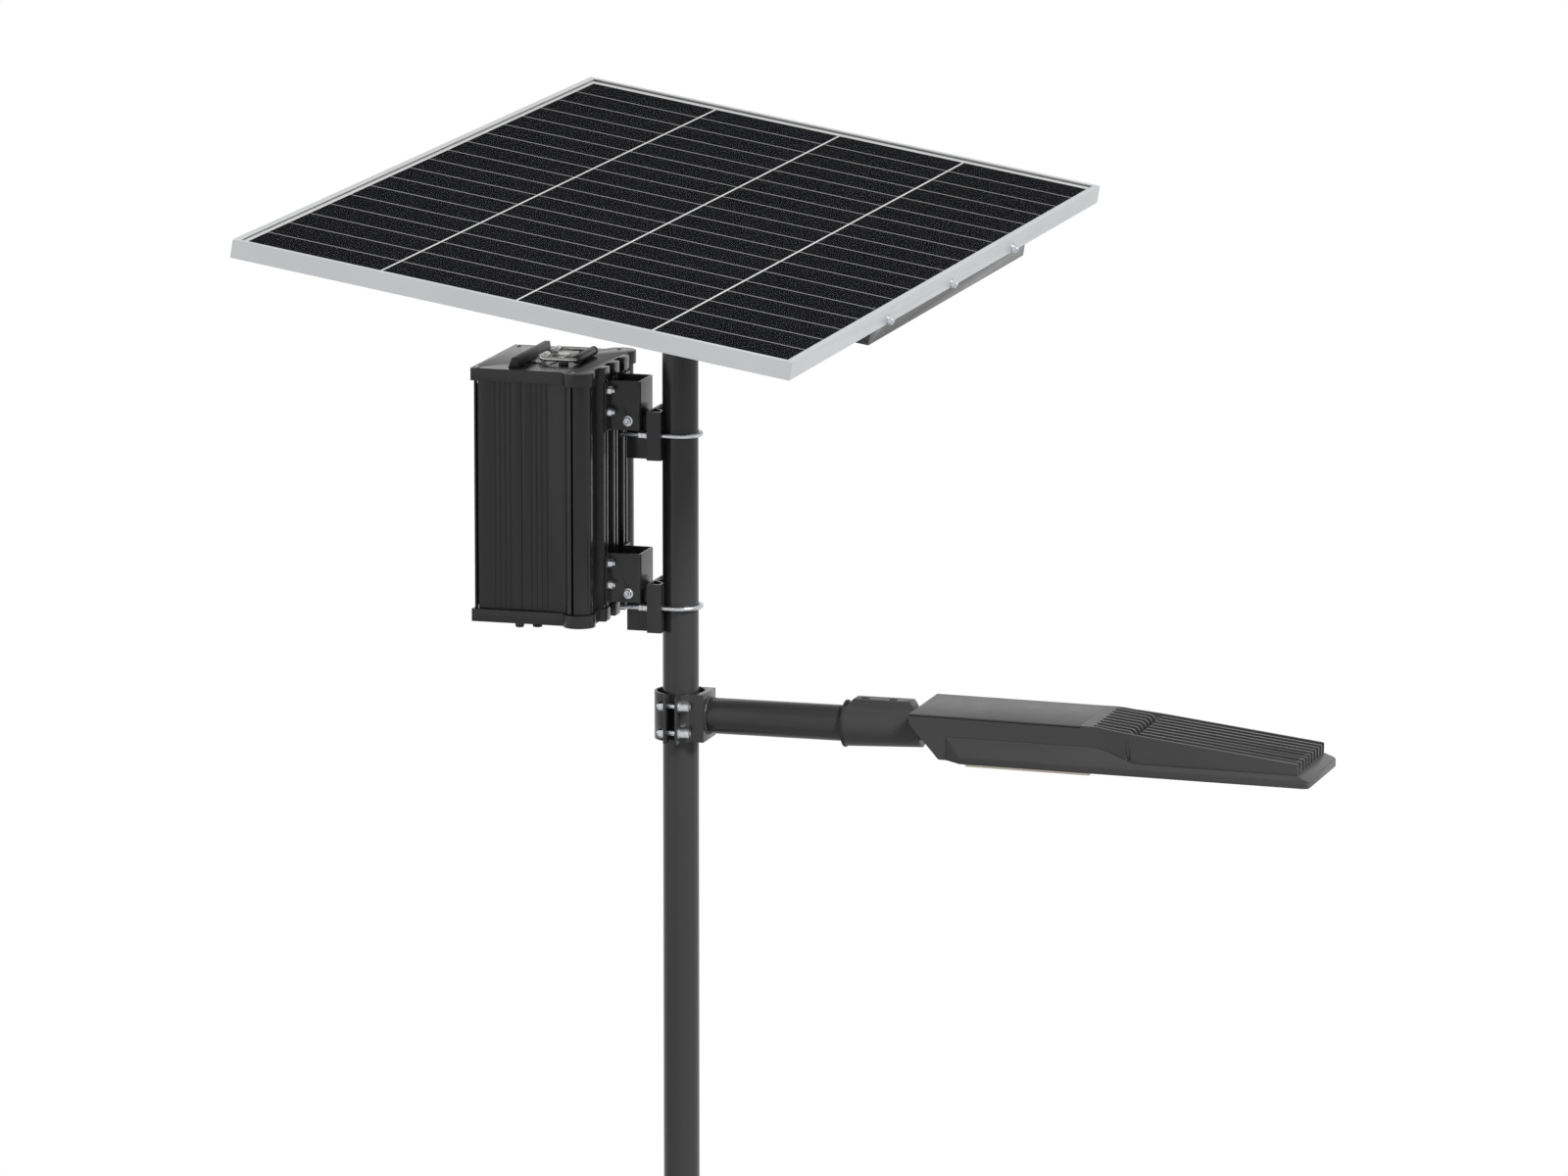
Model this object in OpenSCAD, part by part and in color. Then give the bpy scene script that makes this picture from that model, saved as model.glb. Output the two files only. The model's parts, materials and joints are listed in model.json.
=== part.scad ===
// Solar street lamp: framed panel, clamped battery box and LED lantern on a tubular pole.
// Millimetres. +Z up, +X along the lantern arm, origin at the centre of the base flange's underside.

/* [Pole] */
// Outside diameter of the pole tube
pole_od = 60; // [54:1:64]
// Wall of the pole tube
pole_wall = 3; // [2:0.5:5]
// Height of the pole tube
pole_height = 3475; // [3300:5:4200]
// Side of the square base flange
base_side = 250; // [220:5:320]
// Thickness of the base flange
base_t = 14; // [10:1:20]
// Spacing of the anchor holes along each side
anchor_spacing = 170; // [150:5:190]
// Diameter of the anchor holes
anchor_hole_d = 18; // [12:1:24]
// Height of the base gussets
gusset_h = 110; // [60:5:160]
// Length of the base gussets
gusset_len = 62; // [40:1:70]
// Thickness of the base gussets
gusset_t = 6; // [4:1:10]

/* [Arm] */
// Height of the arm's axis above the ground
arm_z = 2765; // [2600:5:2850]
// Outside diameter of the arm tube
arm_od = 60; // [56:1:62]
// Wall of the arm tube
arm_wall = 3; // [2:0.5:5]
// Distance from the pole's axis to the end of the arm tube
arm_reach = 396; // [396:1:430]
// Height of both clamp halves
clamp_h = 80; // [76:1:100]
// Inner radius of the clamp shells
clamp_bore_r = 40; // [38:0.5:42]
// Wall of the clamp shells
clamp_wall = 4; // [3:0.5:5]
// Distance from the pole's axis to the clamp block's front face
clamp_face_x = 49.5; // [47:0.5:54]
// Half-width of the clamp block
clamp_block_y = 36; // [34:0.5:38]
// Distance of the clamp screws from the pole's axis
clamp_screw_y = 52.5; // [52.5:0.5:55]
// Vertical spacing of the clamp screws
clamp_screw_pitch = 45; // [40:1:50]
// Half of the gap between the clamp flanges
clamp_gap = 8; // [5:0.5:9]
// Diameter of the clamp screws
clamp_screw_d = 10; // [8:1:10]

/* [Spigot] */
// Distance from the pole's axis to the mouth of the spigot sleeve
spigot_x = 288; // [280:1:300]
// Outer radius of the sleeve at its mouth
spigot_r1 = 37.5; // [36:0.5:39]
// Outer radius of the sleeve at its tail
spigot_r2 = 32.8; // [32:0.1:34]
// Height of the screw pad above the arm's axis
spigot_pad_z = 44.5; // [42:0.5:48]
// Width of the screw pad
spigot_pad_w = 30; // [24:1:36]
// Thickness of the seal lip at the mouth
spigot_seal_t = 3; // [2:0.5:4]
// Diameter of the set screws
spigot_screw_d = 8; // [6:1:10]

/* [Lantern] */
// Distance from the pole's axis to the lantern's datum, 23 mm in front of its back edge
lamp_x = 440; // [440:1:445]
// Height of the lantern's datum above the arm's axis
lamp_dz = 1.5; // [0:0.5:3]
// Distance of the pivot in front of the datum
lamp_pivot_dx = 12; // [11:0.5:14]
// Height of the pivot above the datum
lamp_pivot_dz = 8; // [6:0.5:9]
// Downward pitch of the lantern at rest, in degrees
lamp_pitch = 0.8; // [0:0.1:2]
// Length of the lantern in front of its datum
lamp_front = 656; // [640:1:680]
// Length of the lantern behind its datum
lamp_back = 23; // [21:0.5:24]
// Half-width of the housing at the back
lamp_rear_y = 88; // [86:0.5:92]
// Half-width of the housing at the fins
lamp_fin_y = 95; // [93:0.5:97]
// Half-width of the rim
lamp_rim_y = 102; // [100:0.5:106]
// Height of the flat top above the datum
lamp_top_z = 38.3; // [37:0.1:40]
// Depth of the rim's underside below the datum
lamp_rim_z = 37.3; // [36:0.1:39]
// Height of the rim
lamp_rim_h = 11.5; // [9:0.5:13]
// Number of inner cooling fins
fin_count = 8; // [4:2:12]
// Spacing of the cooling fins
fin_pitch = 20.3; // [14:0.1:20.5]
// Thickness of a cooling fin
fin_t = 6; // [3:0.5:8]
// Depth of the grooves between the fins
fin_depth = 17; // [12:0.5:18]
// Thickness of the housing walls
lamp_wall = 5; // [3:0.5:6]
// Length of the lens
lens_len = 217; // [180:1:230]
// Half-width of the lens
lens_y = 78; // [70:1:84]
// Depth of the lens below the rim
lens_drop = 9.5; // [5:0.5:11]

/* [Battery box] */
// Height of the box's underside above the arm's axis
box_dz = 162; // [155:1:170]
// Overall height of the box
box_h = 425.5; // [400:0.5:440]
// Distance from the pole's axis to the box's far face
box_far_x = 324.8; // [310:0.1:335]
// Distance from the pole's axis to the box's near wall
box_near_x = 124.5; // [122:0.5:126]
// Half-depth of the box along Y
box_y = 123; // [120:0.5:126]
// Height of each end cap
cap_h = 21; // [18:0.5:26]
// Thickness of an end cap's plate
cap_plate_t = 5; // [4:0.5:6]
// Overhang of the end caps over the case body
cap_over = 4.5; // [3:0.5:5.5]
// Wall of the case body
case_wall = 3.5; // [2.5:0.5:5]
// Thickness of the cap gaskets
cap_gasket_t = 1.5; // [1:0.5:2.5]
// Radius of the round corner lobes of the caps
lobe_r = 27; // [24:0.5:28]
// Spacing of the three T-slot rails
rail_pitch = 55; // [50:0.5:60]
// Width of a T-slot rail
rail_w = 23; // [22:0.5:26]
// How far a rail stands out of the near wall
rail_out = 12.5; // [11:0.5:14]
// Width of the mouth of a T-slot
slot_w = 9; // [8.5:0.1:10]
// Number of shallow grooves on each half of a broad face
reed_count = 4; // [2:1:6]
// Spacing of the shallow grooves
reed_pitch = 9; // [7:0.5:10]
// Distance from the pole's axis to the joint line in the middle of the broad faces
reed_mid_x = 238; // [234:1:242]

/* [Box brackets] */
// Height of the box brackets
hat_h = 82; // [76:1:90]
// Half-width of a box bracket's channel
hat_y = 38; // [37:0.5:40]
// Distance from the pole's axis to a box bracket's web
hat_web_x = 58; // [57:0.5:60]
// Sheet thickness of the brackets
sheet_t = 4; // [3:0.5:4.5]
// Depth of the upper bracket's middle below the box's top
hat_drop = 66; // [65:0.5:75]
// Height of the lower bracket's middle above the box's underside
hat_rise = 69.5; // [65:0.5:75]
// Height of a pole bracket
saddle_h = 82; // [76:1:90]
// Drop of the pole bracket's middle below the box bracket's
saddle_drop = 48.5; // [48.5:0.5:51]
// Half-width of the pole saddle
saddle_y = 42; // [41:0.5:45]
// Diameter of the U-bolt wire
u_bolt_d = 8; // [6:0.5:8]
// Diameter of the cross bolts
cross_bolt_d = 8; // [6:0.5:8]
// Diameter of the T-bolts
t_bolt_d = 8; // [6:0.5:8]

/* [Handle] */
// Distance from the pole's axis to the handle's hinge
handle_x = 225.4; // [220:0.1:230]
// Length of the handle arms
handle_len = 61; // [50:1:70]
// Half-distance between the handle arms
handle_y = 56; // [50:1:62]
// Diameter of the handle wire
handle_wire_d = 7; // [6:0.5:8]
// Outside diameter of the grip
grip_d = 15; // [13:0.5:16]
// Height of the handle's hinge above the cap
handle_dz = 9; // [9:0.5:12]

/* [Solar panel] */
// Width of the panel across the tilt axis
panel_w = 929; // [900:1:1000]
// Length of the panel along the tilt axis
panel_l = 1908; // [1800:1:2000]
// Depth of the panel frame
frame_h = 30; // [28:1:40]
// Wall of the panel frame
frame_wall = 2; // [1.5:0.1:3]
// Width of the lip over the glass
frame_lip = 10; // [8:0.5:13]
// Thickness of the panel glass
glass_t = 3.2; // [2.8:0.1:4]
// Tilt of the panel at rest, in degrees
panel_tilt = 9.5; // [0:0.5:25]
// Height of the glass side of the panel above the tilt axis
panel_top = 60.5; // [60.5:0.5:70]
// Number of cell columns
cell_cols = 4; // [2:1:6]
// Number of cell rows
cell_rows = 18; // [10:1:24]
// Length of the side rails
rail_len = 960; // [900:10:1200]
// Height of the side rails
rail_h = 38; // [36:1:42]
// Width of the side rails' foot
rail_foot = 26; // [22:1:32]
// Spacing of the rail bolts
rail_bolt_pitch = 386; // [350:1:420]
// Depth of the rail bolts below the glass side
rail_bolt_h = 23; // [20:0.5:26]
// Half-spacing of the cross beams
beam_y = 140; // [120:5:160]
// Side of the square cross beams
beam_side = 24; // [22:1:24]

/* [Pole-top mount] */
// Height of the tilt axis above the top of the pole
tilt_rise = 75; // [75:1:85]
// Depth of the sleeve over the pole
sleeve_len = 90; // [60:5:90]
// Wall of the sleeve
sleeve_wall = 5; // [4:0.5:6]
// Thickness of an ear
ear_t = 8; // [6:0.5:10]
// Distance of the lock bolt from the tilt axis
lock_r = 45; // [42:0.5:45]
// Diameter of the tilt axis bolt
tilt_bolt_d = 12; // [10:1:12]
// Diameter of the tilt lock bolt
lock_bolt_d = 10; // [8:1:10]
// Lowest and highest panel tilt, in degrees
tilt_max = 25; // [15:1:25]

/* [Hidden] */
$fn = 64;
eps = 1;            // how far a cutter runs past the face it opens
pin_fit = 0.05;     // radial clearance of a pin that turns in its hole
bolt_fit = 0.25;    // radial clearance of a bolt in a plain hole
slip = 0.3;         // clearance between faces on different moving bodies
seat = 0.1;         // clearance between a tube and what is welded to it
pole_r = pole_od / 2;
black = "#4a4a4a";
dark = "#2b2b2b";
zinc = "#c9ccd0";
alloy = "#bfc1c4";

// ---------- shared shapes ----------
// An XZ outline, extruded evenly to both sides along Y.
module side_cut(width) rotate([90, 0, 0]) linear_extrude(width, center = true) children();

// A YZ outline, extruded from x = 0 along +X.
module cross_cut(length) rotate([90, 0, 90]) linear_extrude(length) children();

// Turns a shape that stands on +Z so that it points along +X, -X or +Y.
module to_x() rotate([0, 90, 0]) children();
module to_minus_x() rotate([0, -90, 0]) children();
module to_y() rotate([-90, 0, 0]) children();

module ring(outer_r, inner_r, h) difference() {
  cylinder(r = outer_r, h = h);
  translate([0, 0, -eps]) cylinder(r = inner_r, h = h + 2 * eps);
}

// A rectangle about the origin with round corners.
module round_rect(w, d, r) {
  square([w - 2 * r, d], center = true);
  square([w, d - 2 * r], center = true);
  for (x = [-1, 1], y = [-1, 1]) translate([x * (w / 2 - r), y * (d / 2 - r)]) circle(r = r);
}

module hex_prism(across, h) cylinder(r = across / sqrt(3), h = h, $fn = 6);

// Width across the flats of a hexagon for a thread.
function hex_af(d) = 1.5 * d + 1;
function nut_h(d) = 0.8 * d;
function washer_r(d) = d;
function washer_t(d) = 0.2 * d;

// A washer and nut with their common bore, standing on z = 0.
module nut_and_washer(d) difference() {
  union() {
    cylinder(r = washer_r(d), h = washer_t(d));
    translate([0, 0, washer_t(d)]) hex_prism(hex_af(d), nut_h(d));
  }
  translate([0, 0, -eps]) cylinder(r = d / 2 + seat, h = 3 * d);
}

// A socket screw: its head stands on z = 0, its shank points down.
module socket_screw(d, shank, head_h = 0) {
  head = head_h > 0 ? head_h : d;
  translate([0, 0, -shank]) cylinder(r = d / 2, h = shank);
  difference() {
    cylinder(r = 0.8 * d, h = head);
    translate([0, 0, head / 2]) hex_prism(0.8 * d, head);
  }
}

// A hexagon-head bolt with its washer: the washer stands on z = 0, the shank points down.
module hex_bolt(d, shank) {
  translate([0, 0, -shank]) cylinder(r = d / 2, h = shank + washer_t(d));
  cylinder(r = washer_r(d), h = washer_t(d));
  translate([0, 0, washer_t(d)]) hex_prism(hex_af(d), 0.65 * d);
}

// ---------- pole and base ----------
module pole_tube() color(black) ring(pole_r, pole_r - pole_wall, pole_height);

module base_flange() color(black) difference() {
  linear_extrude(base_t) round_rect(base_side, base_side, 18);
  translate([0, 0, -eps]) cylinder(r = pole_r + seat, h = base_t + 2 * eps);
  for (x = [-1, 1], y = [-1, 1]) translate([x * anchor_spacing / 2, y * anchor_spacing / 2, -eps])
    cylinder(d = anchor_hole_d, h = base_t + 2 * eps);
}

module base_gussets() color(black) for (a = [0, 90, 180, 270]) rotate(a)
  translate([pole_r + seat, 0, base_t]) side_cut(gusset_t)
    polygon([[0, 0], [gusset_len, 0], [gusset_len, 14], [14, gusset_h], [0, gusset_h]]);

// ---------- arm clamp ----------
clamp_outer_r = clamp_bore_r + clamp_wall;
clamp_flange_y = clamp_screw_y + clamp_screw_d + 2;
jaw_w = 10;
jaw_h = clamp_h - 16;

// Half a clamp on the +X side: shell, screw flanges and two jaws that grip the pole.
module clamp_half(flange_x) {
  difference() {
    union() {
      intersection() {
        ring(clamp_outer_r, clamp_bore_r, clamp_h);
        translate([flange_x, -clamp_outer_r, 0]) cube([clamp_outer_r, 2 * clamp_outer_r, clamp_h]);
      }
      for (s = [-1, 1]) translate([flange_x, s > 0 ? clamp_bore_r - 1.5 : -clamp_flange_y, 0])
        cube([clamp_wall, clamp_flange_y - clamp_bore_r + 1.5, clamp_h]);
      children();
    }
    for (s = [-1, 1], k = [-1, 1])
      translate([flange_x - eps, s * clamp_screw_y, clamp_h / 2 + k * clamp_screw_pitch / 2])
        to_x() cylinder(d = clamp_screw_d + 2 * bolt_fit, h = clamp_wall + 2 * eps);
  }
  for (a = [-38, 38]) rotate(a) difference() {
    translate([pole_r - 2, -jaw_w / 2, (clamp_h - jaw_h) / 2])
      cube([clamp_bore_r + 1 - pole_r + 2, jaw_w, jaw_h]);
    cylinder(r = pole_r + seat, h = clamp_h);
  }
}

module at_clamp() translate([0, 0, arm_z - clamp_h / 2]) children();

module arm_clamp_front() color(black) at_clamp() clamp_half(clamp_gap) difference() {
  translate([clamp_gap + clamp_wall + 2, -clamp_block_y, 0])
    cube([clamp_face_x - clamp_gap - clamp_wall - 2, 2 * clamp_block_y, clamp_h]);
  translate([0, 0, -eps]) cylinder(r = clamp_bore_r, h = clamp_h + 2 * eps);
}

module arm_clamp_back() color(black) at_clamp() mirror([1, 0, 0]) clamp_half(clamp_gap);

clamp_screw_head_x = clamp_gap + clamp_wall + 2 * washer_t(clamp_screw_d) + 1;

module at_clamp_screws() for (s = [-1, 1], k = [-1, 1])
  translate([0, s * clamp_screw_y, arm_z + k * clamp_screw_pitch / 2]) children();

module arm_clamp_screws() color(zinc) at_clamp_screws() {
  translate([clamp_screw_head_x, 0, 0]) to_x()
    socket_screw(clamp_screw_d, clamp_screw_head_x + clamp_gap + clamp_wall + 13, 14);
  translate([clamp_gap + clamp_wall, 0, 0]) to_x()
    cylinder(r = washer_r(clamp_screw_d), h = washer_t(clamp_screw_d));
  translate([clamp_gap + clamp_wall + washer_t(clamp_screw_d), 0, 0]) to_x()
    cylinder(r = 0.82 * clamp_screw_d, h = washer_t(clamp_screw_d) + 1);
}

module arm_clamp_nuts() color(zinc) at_clamp_screws()
  translate([-clamp_gap - clamp_wall, 0, 0]) to_minus_x() nut_and_washer(clamp_screw_d);

// ---------- arm and spigot ----------
arm_r = arm_od / 2;

module at_arm() translate([0, 0, arm_z]) children();

module arm_tube() color(black) at_arm() translate([clamp_face_x, 0, 0]) to_x()
  ring(arm_r, arm_r - arm_wall, arm_reach - clamp_face_x);

spigot_end_x = lamp_x - lamp_back + 1;   // where the sleeve's round body stops
pad_end_x = spigot_end_x - 19;                 // where the screw pad's top stops
tongue_r = 20;
tongue_y = 28;
tongue_neck_z = 21;

// Side outline of the tongue, about the lantern's datum.
module tongue_outline() {
  translate([lamp_pivot_dx, lamp_pivot_dz]) circle(r = tongue_r);
  polygon([[arm_reach + 6 - lamp_x, -tongue_neck_z], [arm_reach + 6 - lamp_x, tongue_neck_z],
    [lamp_pivot_dx, lamp_pivot_dz + tongue_r], [lamp_pivot_dx, lamp_pivot_dz - tongue_r]]);
}

module spigot_sleeve() color(dark) at_arm() difference() {
  union() {
    intersection() {
      union() {
        translate([spigot_x, 0, 0]) to_x()
          cylinder(r1 = spigot_r1, r2 = spigot_r2, h = spigot_end_x - spigot_x);
        translate([spigot_x + 10, -spigot_pad_w / 2, 0])
          cube([spigot_end_x - spigot_x - 10, spigot_pad_w, spigot_pad_z]);
      }
      side_cut(4 * spigot_r1) polygon([[spigot_x, -2 * spigot_r1], [spigot_x, 30],
        [spigot_x + 14, spigot_pad_z], [pad_end_x, spigot_pad_z], [pad_end_x + 5, spigot_pad_z - 7],
        [pad_end_x + 12, 23], [pad_end_x + 15, 12], [spigot_end_x, -8], [spigot_end_x, -2 * spigot_r1]]);
    }
    translate([lamp_x, 0, lamp_dz]) side_cut(2 * tongue_y) tongue_outline();
  }
  translate([spigot_x - eps, 0, 0]) to_x() cylinder(r = arm_r + seat, h = arm_reach + slip - spigot_x + eps);
  translate([lamp_x + lamp_pivot_dx, -tongue_y - eps, lamp_dz + lamp_pivot_dz]) to_y()
    cylinder(r = lamp_bolt_d / 2 + pin_fit, h = 2 * tongue_y + 2 * eps);
  for (x = spigot_screw_x) translate([x, 0, 0])
    cylinder(d = spigot_screw_d + 2 * seat, h = spigot_pad_z + eps);
}

spigot_screw_x = [spigot_x + 31, spigot_x + 79];

module spigot_screws() color(dark) at_arm() for (x = spigot_screw_x)
  translate([x, 0, arm_r + slip]) difference() {
    union() {
      cylinder(d = spigot_screw_d, h = spigot_pad_z - arm_r + 0.5);
      translate([0, 0, spigot_pad_z - arm_r - slip]) cylinder(d = spigot_screw_d + 5, h = 1.6);
    }
    translate([0, 0, spigot_pad_z - arm_r - 4]) hex_prism(0.5 * spigot_screw_d, 10);
  }

module spigot_seal() color("#1c1c1c") at_arm() translate([spigot_x - spigot_seal_t, 0, 0]) to_x()
  ring(spigot_r1 + 1.8, arm_r + seat, spigot_seal_t);

// ---------- lantern ----------
// Its own frame has the datum at the origin and +X towards the tip; it is pitched about the pivot.
module lamp_frame() translate([lamp_x + lamp_pivot_dx, 0, arm_z + lamp_dz + lamp_pivot_dz])
  rotate([0, lamp_pitch, 0]) translate([-lamp_pivot_dx, 0, -lamp_pivot_dz]) children();

lamp_bolt_d = 10;
cover_t = 2.7;
cover_end = 268;         // where the flat top cover ends
flat_end = 287;          // where the flat top turns down into the fins
slope_start = flat_end + 25;
fin_end = lamp_front - 19;
fin_end_z = 1;           // height of the fin tips' tops
ledge_z = -17;           // height of the ledge in front of the fins
cheek_z = 4.5;           // height of the cheeks' lower edge
seam = 0.4;              // gap between the housing and the base frame
rear_x = 40;             // front end of the rear block
rim_x = 68;              // back end of the rim
cheek_end_x = 375;       // where the cheeks' lower edge has come down to the ledge
swell_x1 = 290;          // start and end of the swell in the plan outline
swell_x2 = 375;
swell_steps = 10;
pocket_y = tongue_y + 8.5;
pocket_end = lamp_pivot_dx + tongue_r + 3.5;
pocket_roof = 31;

// An S from 0 to 1.
function ease(t) = t * t * (3 - 2 * t);
function top_line(x) = fin_end_z + (lamp_top_z - 2.4 - fin_end_z) * (fin_end - x) / (fin_end - slope_start);

// Plan outline of the housing, drawn in by inset.
function swell(inset) = [for (i = [0:swell_steps]) let (t = i / swell_steps)
  [swell_x1 + (swell_x2 - swell_x1) * t, lamp_rear_y + (lamp_fin_y - lamp_rear_y) * ease(t) - inset]];
function half_plan(inset) = concat([[-lamp_back + inset, lamp_rear_y - inset]], swell(inset),
  [[fin_end - 6, lamp_fin_y - inset], [fin_end - 1.8, lamp_fin_y - 1.8 - inset],
   [fin_end - inset, lamp_fin_y - 6 - inset]]);
function flip(points) = [for (i = [len(points) - 1:-1:0]) [points[i][0], -points[i][1]]];
module plan(inset = 0) polygon(concat(half_plan(inset), flip(half_plan(inset))));

// Lower edge of the cheeks from the rear block to the ledge.
cheek_edge = [for (i = [0:12]) let (t = i / 12)
  [swell_x1 - 5 + (cheek_end_x - swell_x1 + 5) * t, cheek_z + (ledge_z - cheek_z) * ease(t)]];

// Side outline of everything above the base frame, with the given top.
module above_base(top) polygon(concat(top, [[fin_end, ledge_z]], [for (i = [12:-1:0]) cheek_edge[i]],
  [[rear_x, cheek_z], [rear_x, -35.5], [rear_x - 12, -35], [-lamp_back, 21.7]]));

shell_top = [[-lamp_back, lamp_top_z], [flat_end, lamp_top_z], [flat_end + 12, lamp_top_z - 0.6],
  [slope_start, lamp_top_z - 2.4], [fin_end, fin_end_z]];
floor_top = [[-lamp_back, lamp_top_z], [flat_end, lamp_top_z],
  [slope_start + 5, top_line(slope_start + 5) - fin_depth],
  [fin_end - 6, ledge_z + 1.2], [fin_end - 3, ledge_z + 0.6]];

// One cooling fin: a back group with a round nose, a cross valley and a front group.
nose_x = 355;
nose_r = 11;
valley_x = 366;
tip_r = 8;
module fin_outline() difference() {
  union() {
    polygon([[flat_end - 10, lamp_top_z - 20], [flat_end - 10, lamp_top_z], [flat_end, lamp_top_z],
      [flat_end + 12, lamp_top_z - 0.6], [slope_start, lamp_top_z - 2.4],
      [fin_end - tip_r, top_line(fin_end - tip_r)], [fin_end - tip_r, ledge_z],
      [valley_x, top_line(valley_x) - fin_depth - 3],
      [flat_end - 10, lamp_top_z - 20]]);
    translate([fin_end - tip_r, top_line(fin_end - tip_r) - tip_r]) circle(r = tip_r);
    translate([fin_end - tip_r - 1, ledge_z]) square([tip_r + 1, top_line(fin_end) - ledge_z - tip_r + 1]);
  }
  difference() {
    polygon([[nose_x - nose_r, top_line(nose_x) - nose_r], [nose_x - nose_r, top_line(nose_x) + 9],
      [valley_x, top_line(valley_x) + 9], [valley_x, top_line(valley_x) - fin_depth],
      [nose_x, top_line(nose_x) - fin_depth], [nose_x, top_line(nose_x) - nose_r]]);
    translate([nose_x - nose_r, top_line(nose_x - nose_r) - nose_r]) circle(r = nose_r);
  }
}

module lamp_housing() color(black) lamp_frame() difference() {
  union() {
    intersection() {
      side_cut(4 * lamp_fin_y) above_base(floor_top);
      translate([0, 0, -60]) linear_extrude(120) plan();
    }
    intersection() {
      side_cut(4 * lamp_fin_y) above_base(shell_top);
      translate([0, 0, -60]) linear_extrude(120) difference() {
        plan();
        translate([-lamp_back - eps, -lamp_fin_y]) square([flat_end + lamp_back, 2 * lamp_fin_y]);
        plan(lamp_wall);
      }
    }
    for (i = [0:fin_count - 1]) translate([0, (i - (fin_count - 1) / 2) * fin_pitch, 0])
      side_cut(fin_t) fin_outline();
  }
  // rear pocket for the spigot's tongue
  translate([-lamp_back - eps, -pocket_y, -50])
    cube([lamp_back + pocket_end + eps, 2 * pocket_y, 50 + pocket_roof]);
  // hollow cheeks beside the pocket, open at the sloping back
  for (s = [-1, 1]) translate([0, s * (pocket_y + lamp_rear_y) / 2, 0])
    side_cut(lamp_rear_y - pocket_y - 2 * lamp_wall)
      polygon([[-lamp_back - eps, 22], [-lamp_back + 2, 30], [rear_x - lamp_wall, 30],
        [rear_x - lamp_wall, -36.5], [24, -36.5]]);
  // compartment for the driver, under the top cover
  translate([rear_x + 8, -lamp_rear_y + lamp_wall, cheek_z + lamp_wall])
    cube([flat_end - rear_x - 36, 2 * (lamp_rear_y - lamp_wall), 40]);
  // seat and shadow line of the top cover
  translate([-lamp_back - eps, -lamp_rear_y - eps, lamp_top_z - cover_t - 0.3])
    cube([cover_end + lamp_back + eps, 2 * (lamp_rear_y + eps), cover_t + 2]);
  for (s = [0, 1]) mirror([0, s, 0])
    translate([-lamp_back - eps, lamp_rear_y - 1.5, lamp_top_z - cover_t - 1.2])
      cube([cover_end + lamp_back, 1.5 + eps, 2]);
  // hollow under the fins
  side_cut(2 * (lamp_fin_y - 2 * lamp_wall)) polygon([[cheek_end_x, ledge_z - eps], [cheek_end_x, 5],
    [fin_end - 90, ledge_z + 5], [fin_end - 90, ledge_z - eps]]);
  // bores for the pivot bolt and the side screws
  translate([lamp_pivot_dx, -pocket_y - lamp_wall - eps, lamp_pivot_dz]) to_y()
    cylinder(r = lamp_bolt_d / 2 + seat, h = 2 * (pocket_y + lamp_wall + eps));
  for (s = [-1, 1]) translate([side_screw_x, s * (lamp_fin_y - side_screw_len - 1), side_screw_z])
    rotate([s * -90, 0, 0]) cylinder(r = side_screw_d / 2 + seat, h = side_screw_len + 20);
}

// The pivot bolt, with the spacers that fill the pocket on both sides of the spigot's tongue.
module lamp_pivot_bolt() color(zinc) lamp_frame() translate([lamp_pivot_dx, 0, lamp_pivot_dz]) {
  for (s = [-1, 1]) translate([0, s > 0 ? tongue_y + slip : -pocket_y + seat, 0]) to_y()
    ring(13, lamp_bolt_d / 2 + seat, pocket_y - tongue_y - slip - seat);
  translate([0, -pocket_y - lamp_wall - seat, 0]) rotate([90, 0, 0])
    hex_bolt(lamp_bolt_d, 2 * (pocket_y + lamp_wall + seat) + washer_t(lamp_bolt_d) + nut_h(lamp_bolt_d) + 3);
  translate([0, pocket_y + lamp_wall + seat, 0]) to_y() nut_and_washer(lamp_bolt_d);
}

side_screw_d = 7;
side_screw_len = 14;
side_screw_x = 352;
side_screw_z = -9.5;

module lamp_side_screws() color(dark) lamp_frame() for (s = [-1, 1])
  translate([side_screw_x, s * (lamp_fin_y - side_screw_len - 1), side_screw_z])
    rotate([s * -90, 0, 0]) difference() {
      cylinder(d = side_screw_d, h = side_screw_len - 1);
      translate([0, 0, side_screw_len - 4]) hex_prism(3.5, 10);
    }

module lamp_top_cover() color(black) lamp_frame() translate([-lamp_back, -lamp_rear_y, lamp_top_z - cover_t])
  cube([cover_end + lamp_back - seam, 2 * lamp_rear_y, cover_t]);

// Cross-section of the skirt and rim, and its side view.
skirt_y = lamp_rear_y - 0.5;
rim_top = -lamp_rim_z + lamp_rim_h;
module skirt_section(inset, floor_z) {
  y_top = skirt_y - inset;
  y_rim = lamp_rim_y - inset;
  polygon([[-y_top, cheek_z + eps], [y_top, cheek_z + eps], [y_rim, rim_top], [y_rim, floor_z],
    [-y_rim, floor_z], [-y_rim, rim_top]]);
}

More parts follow.
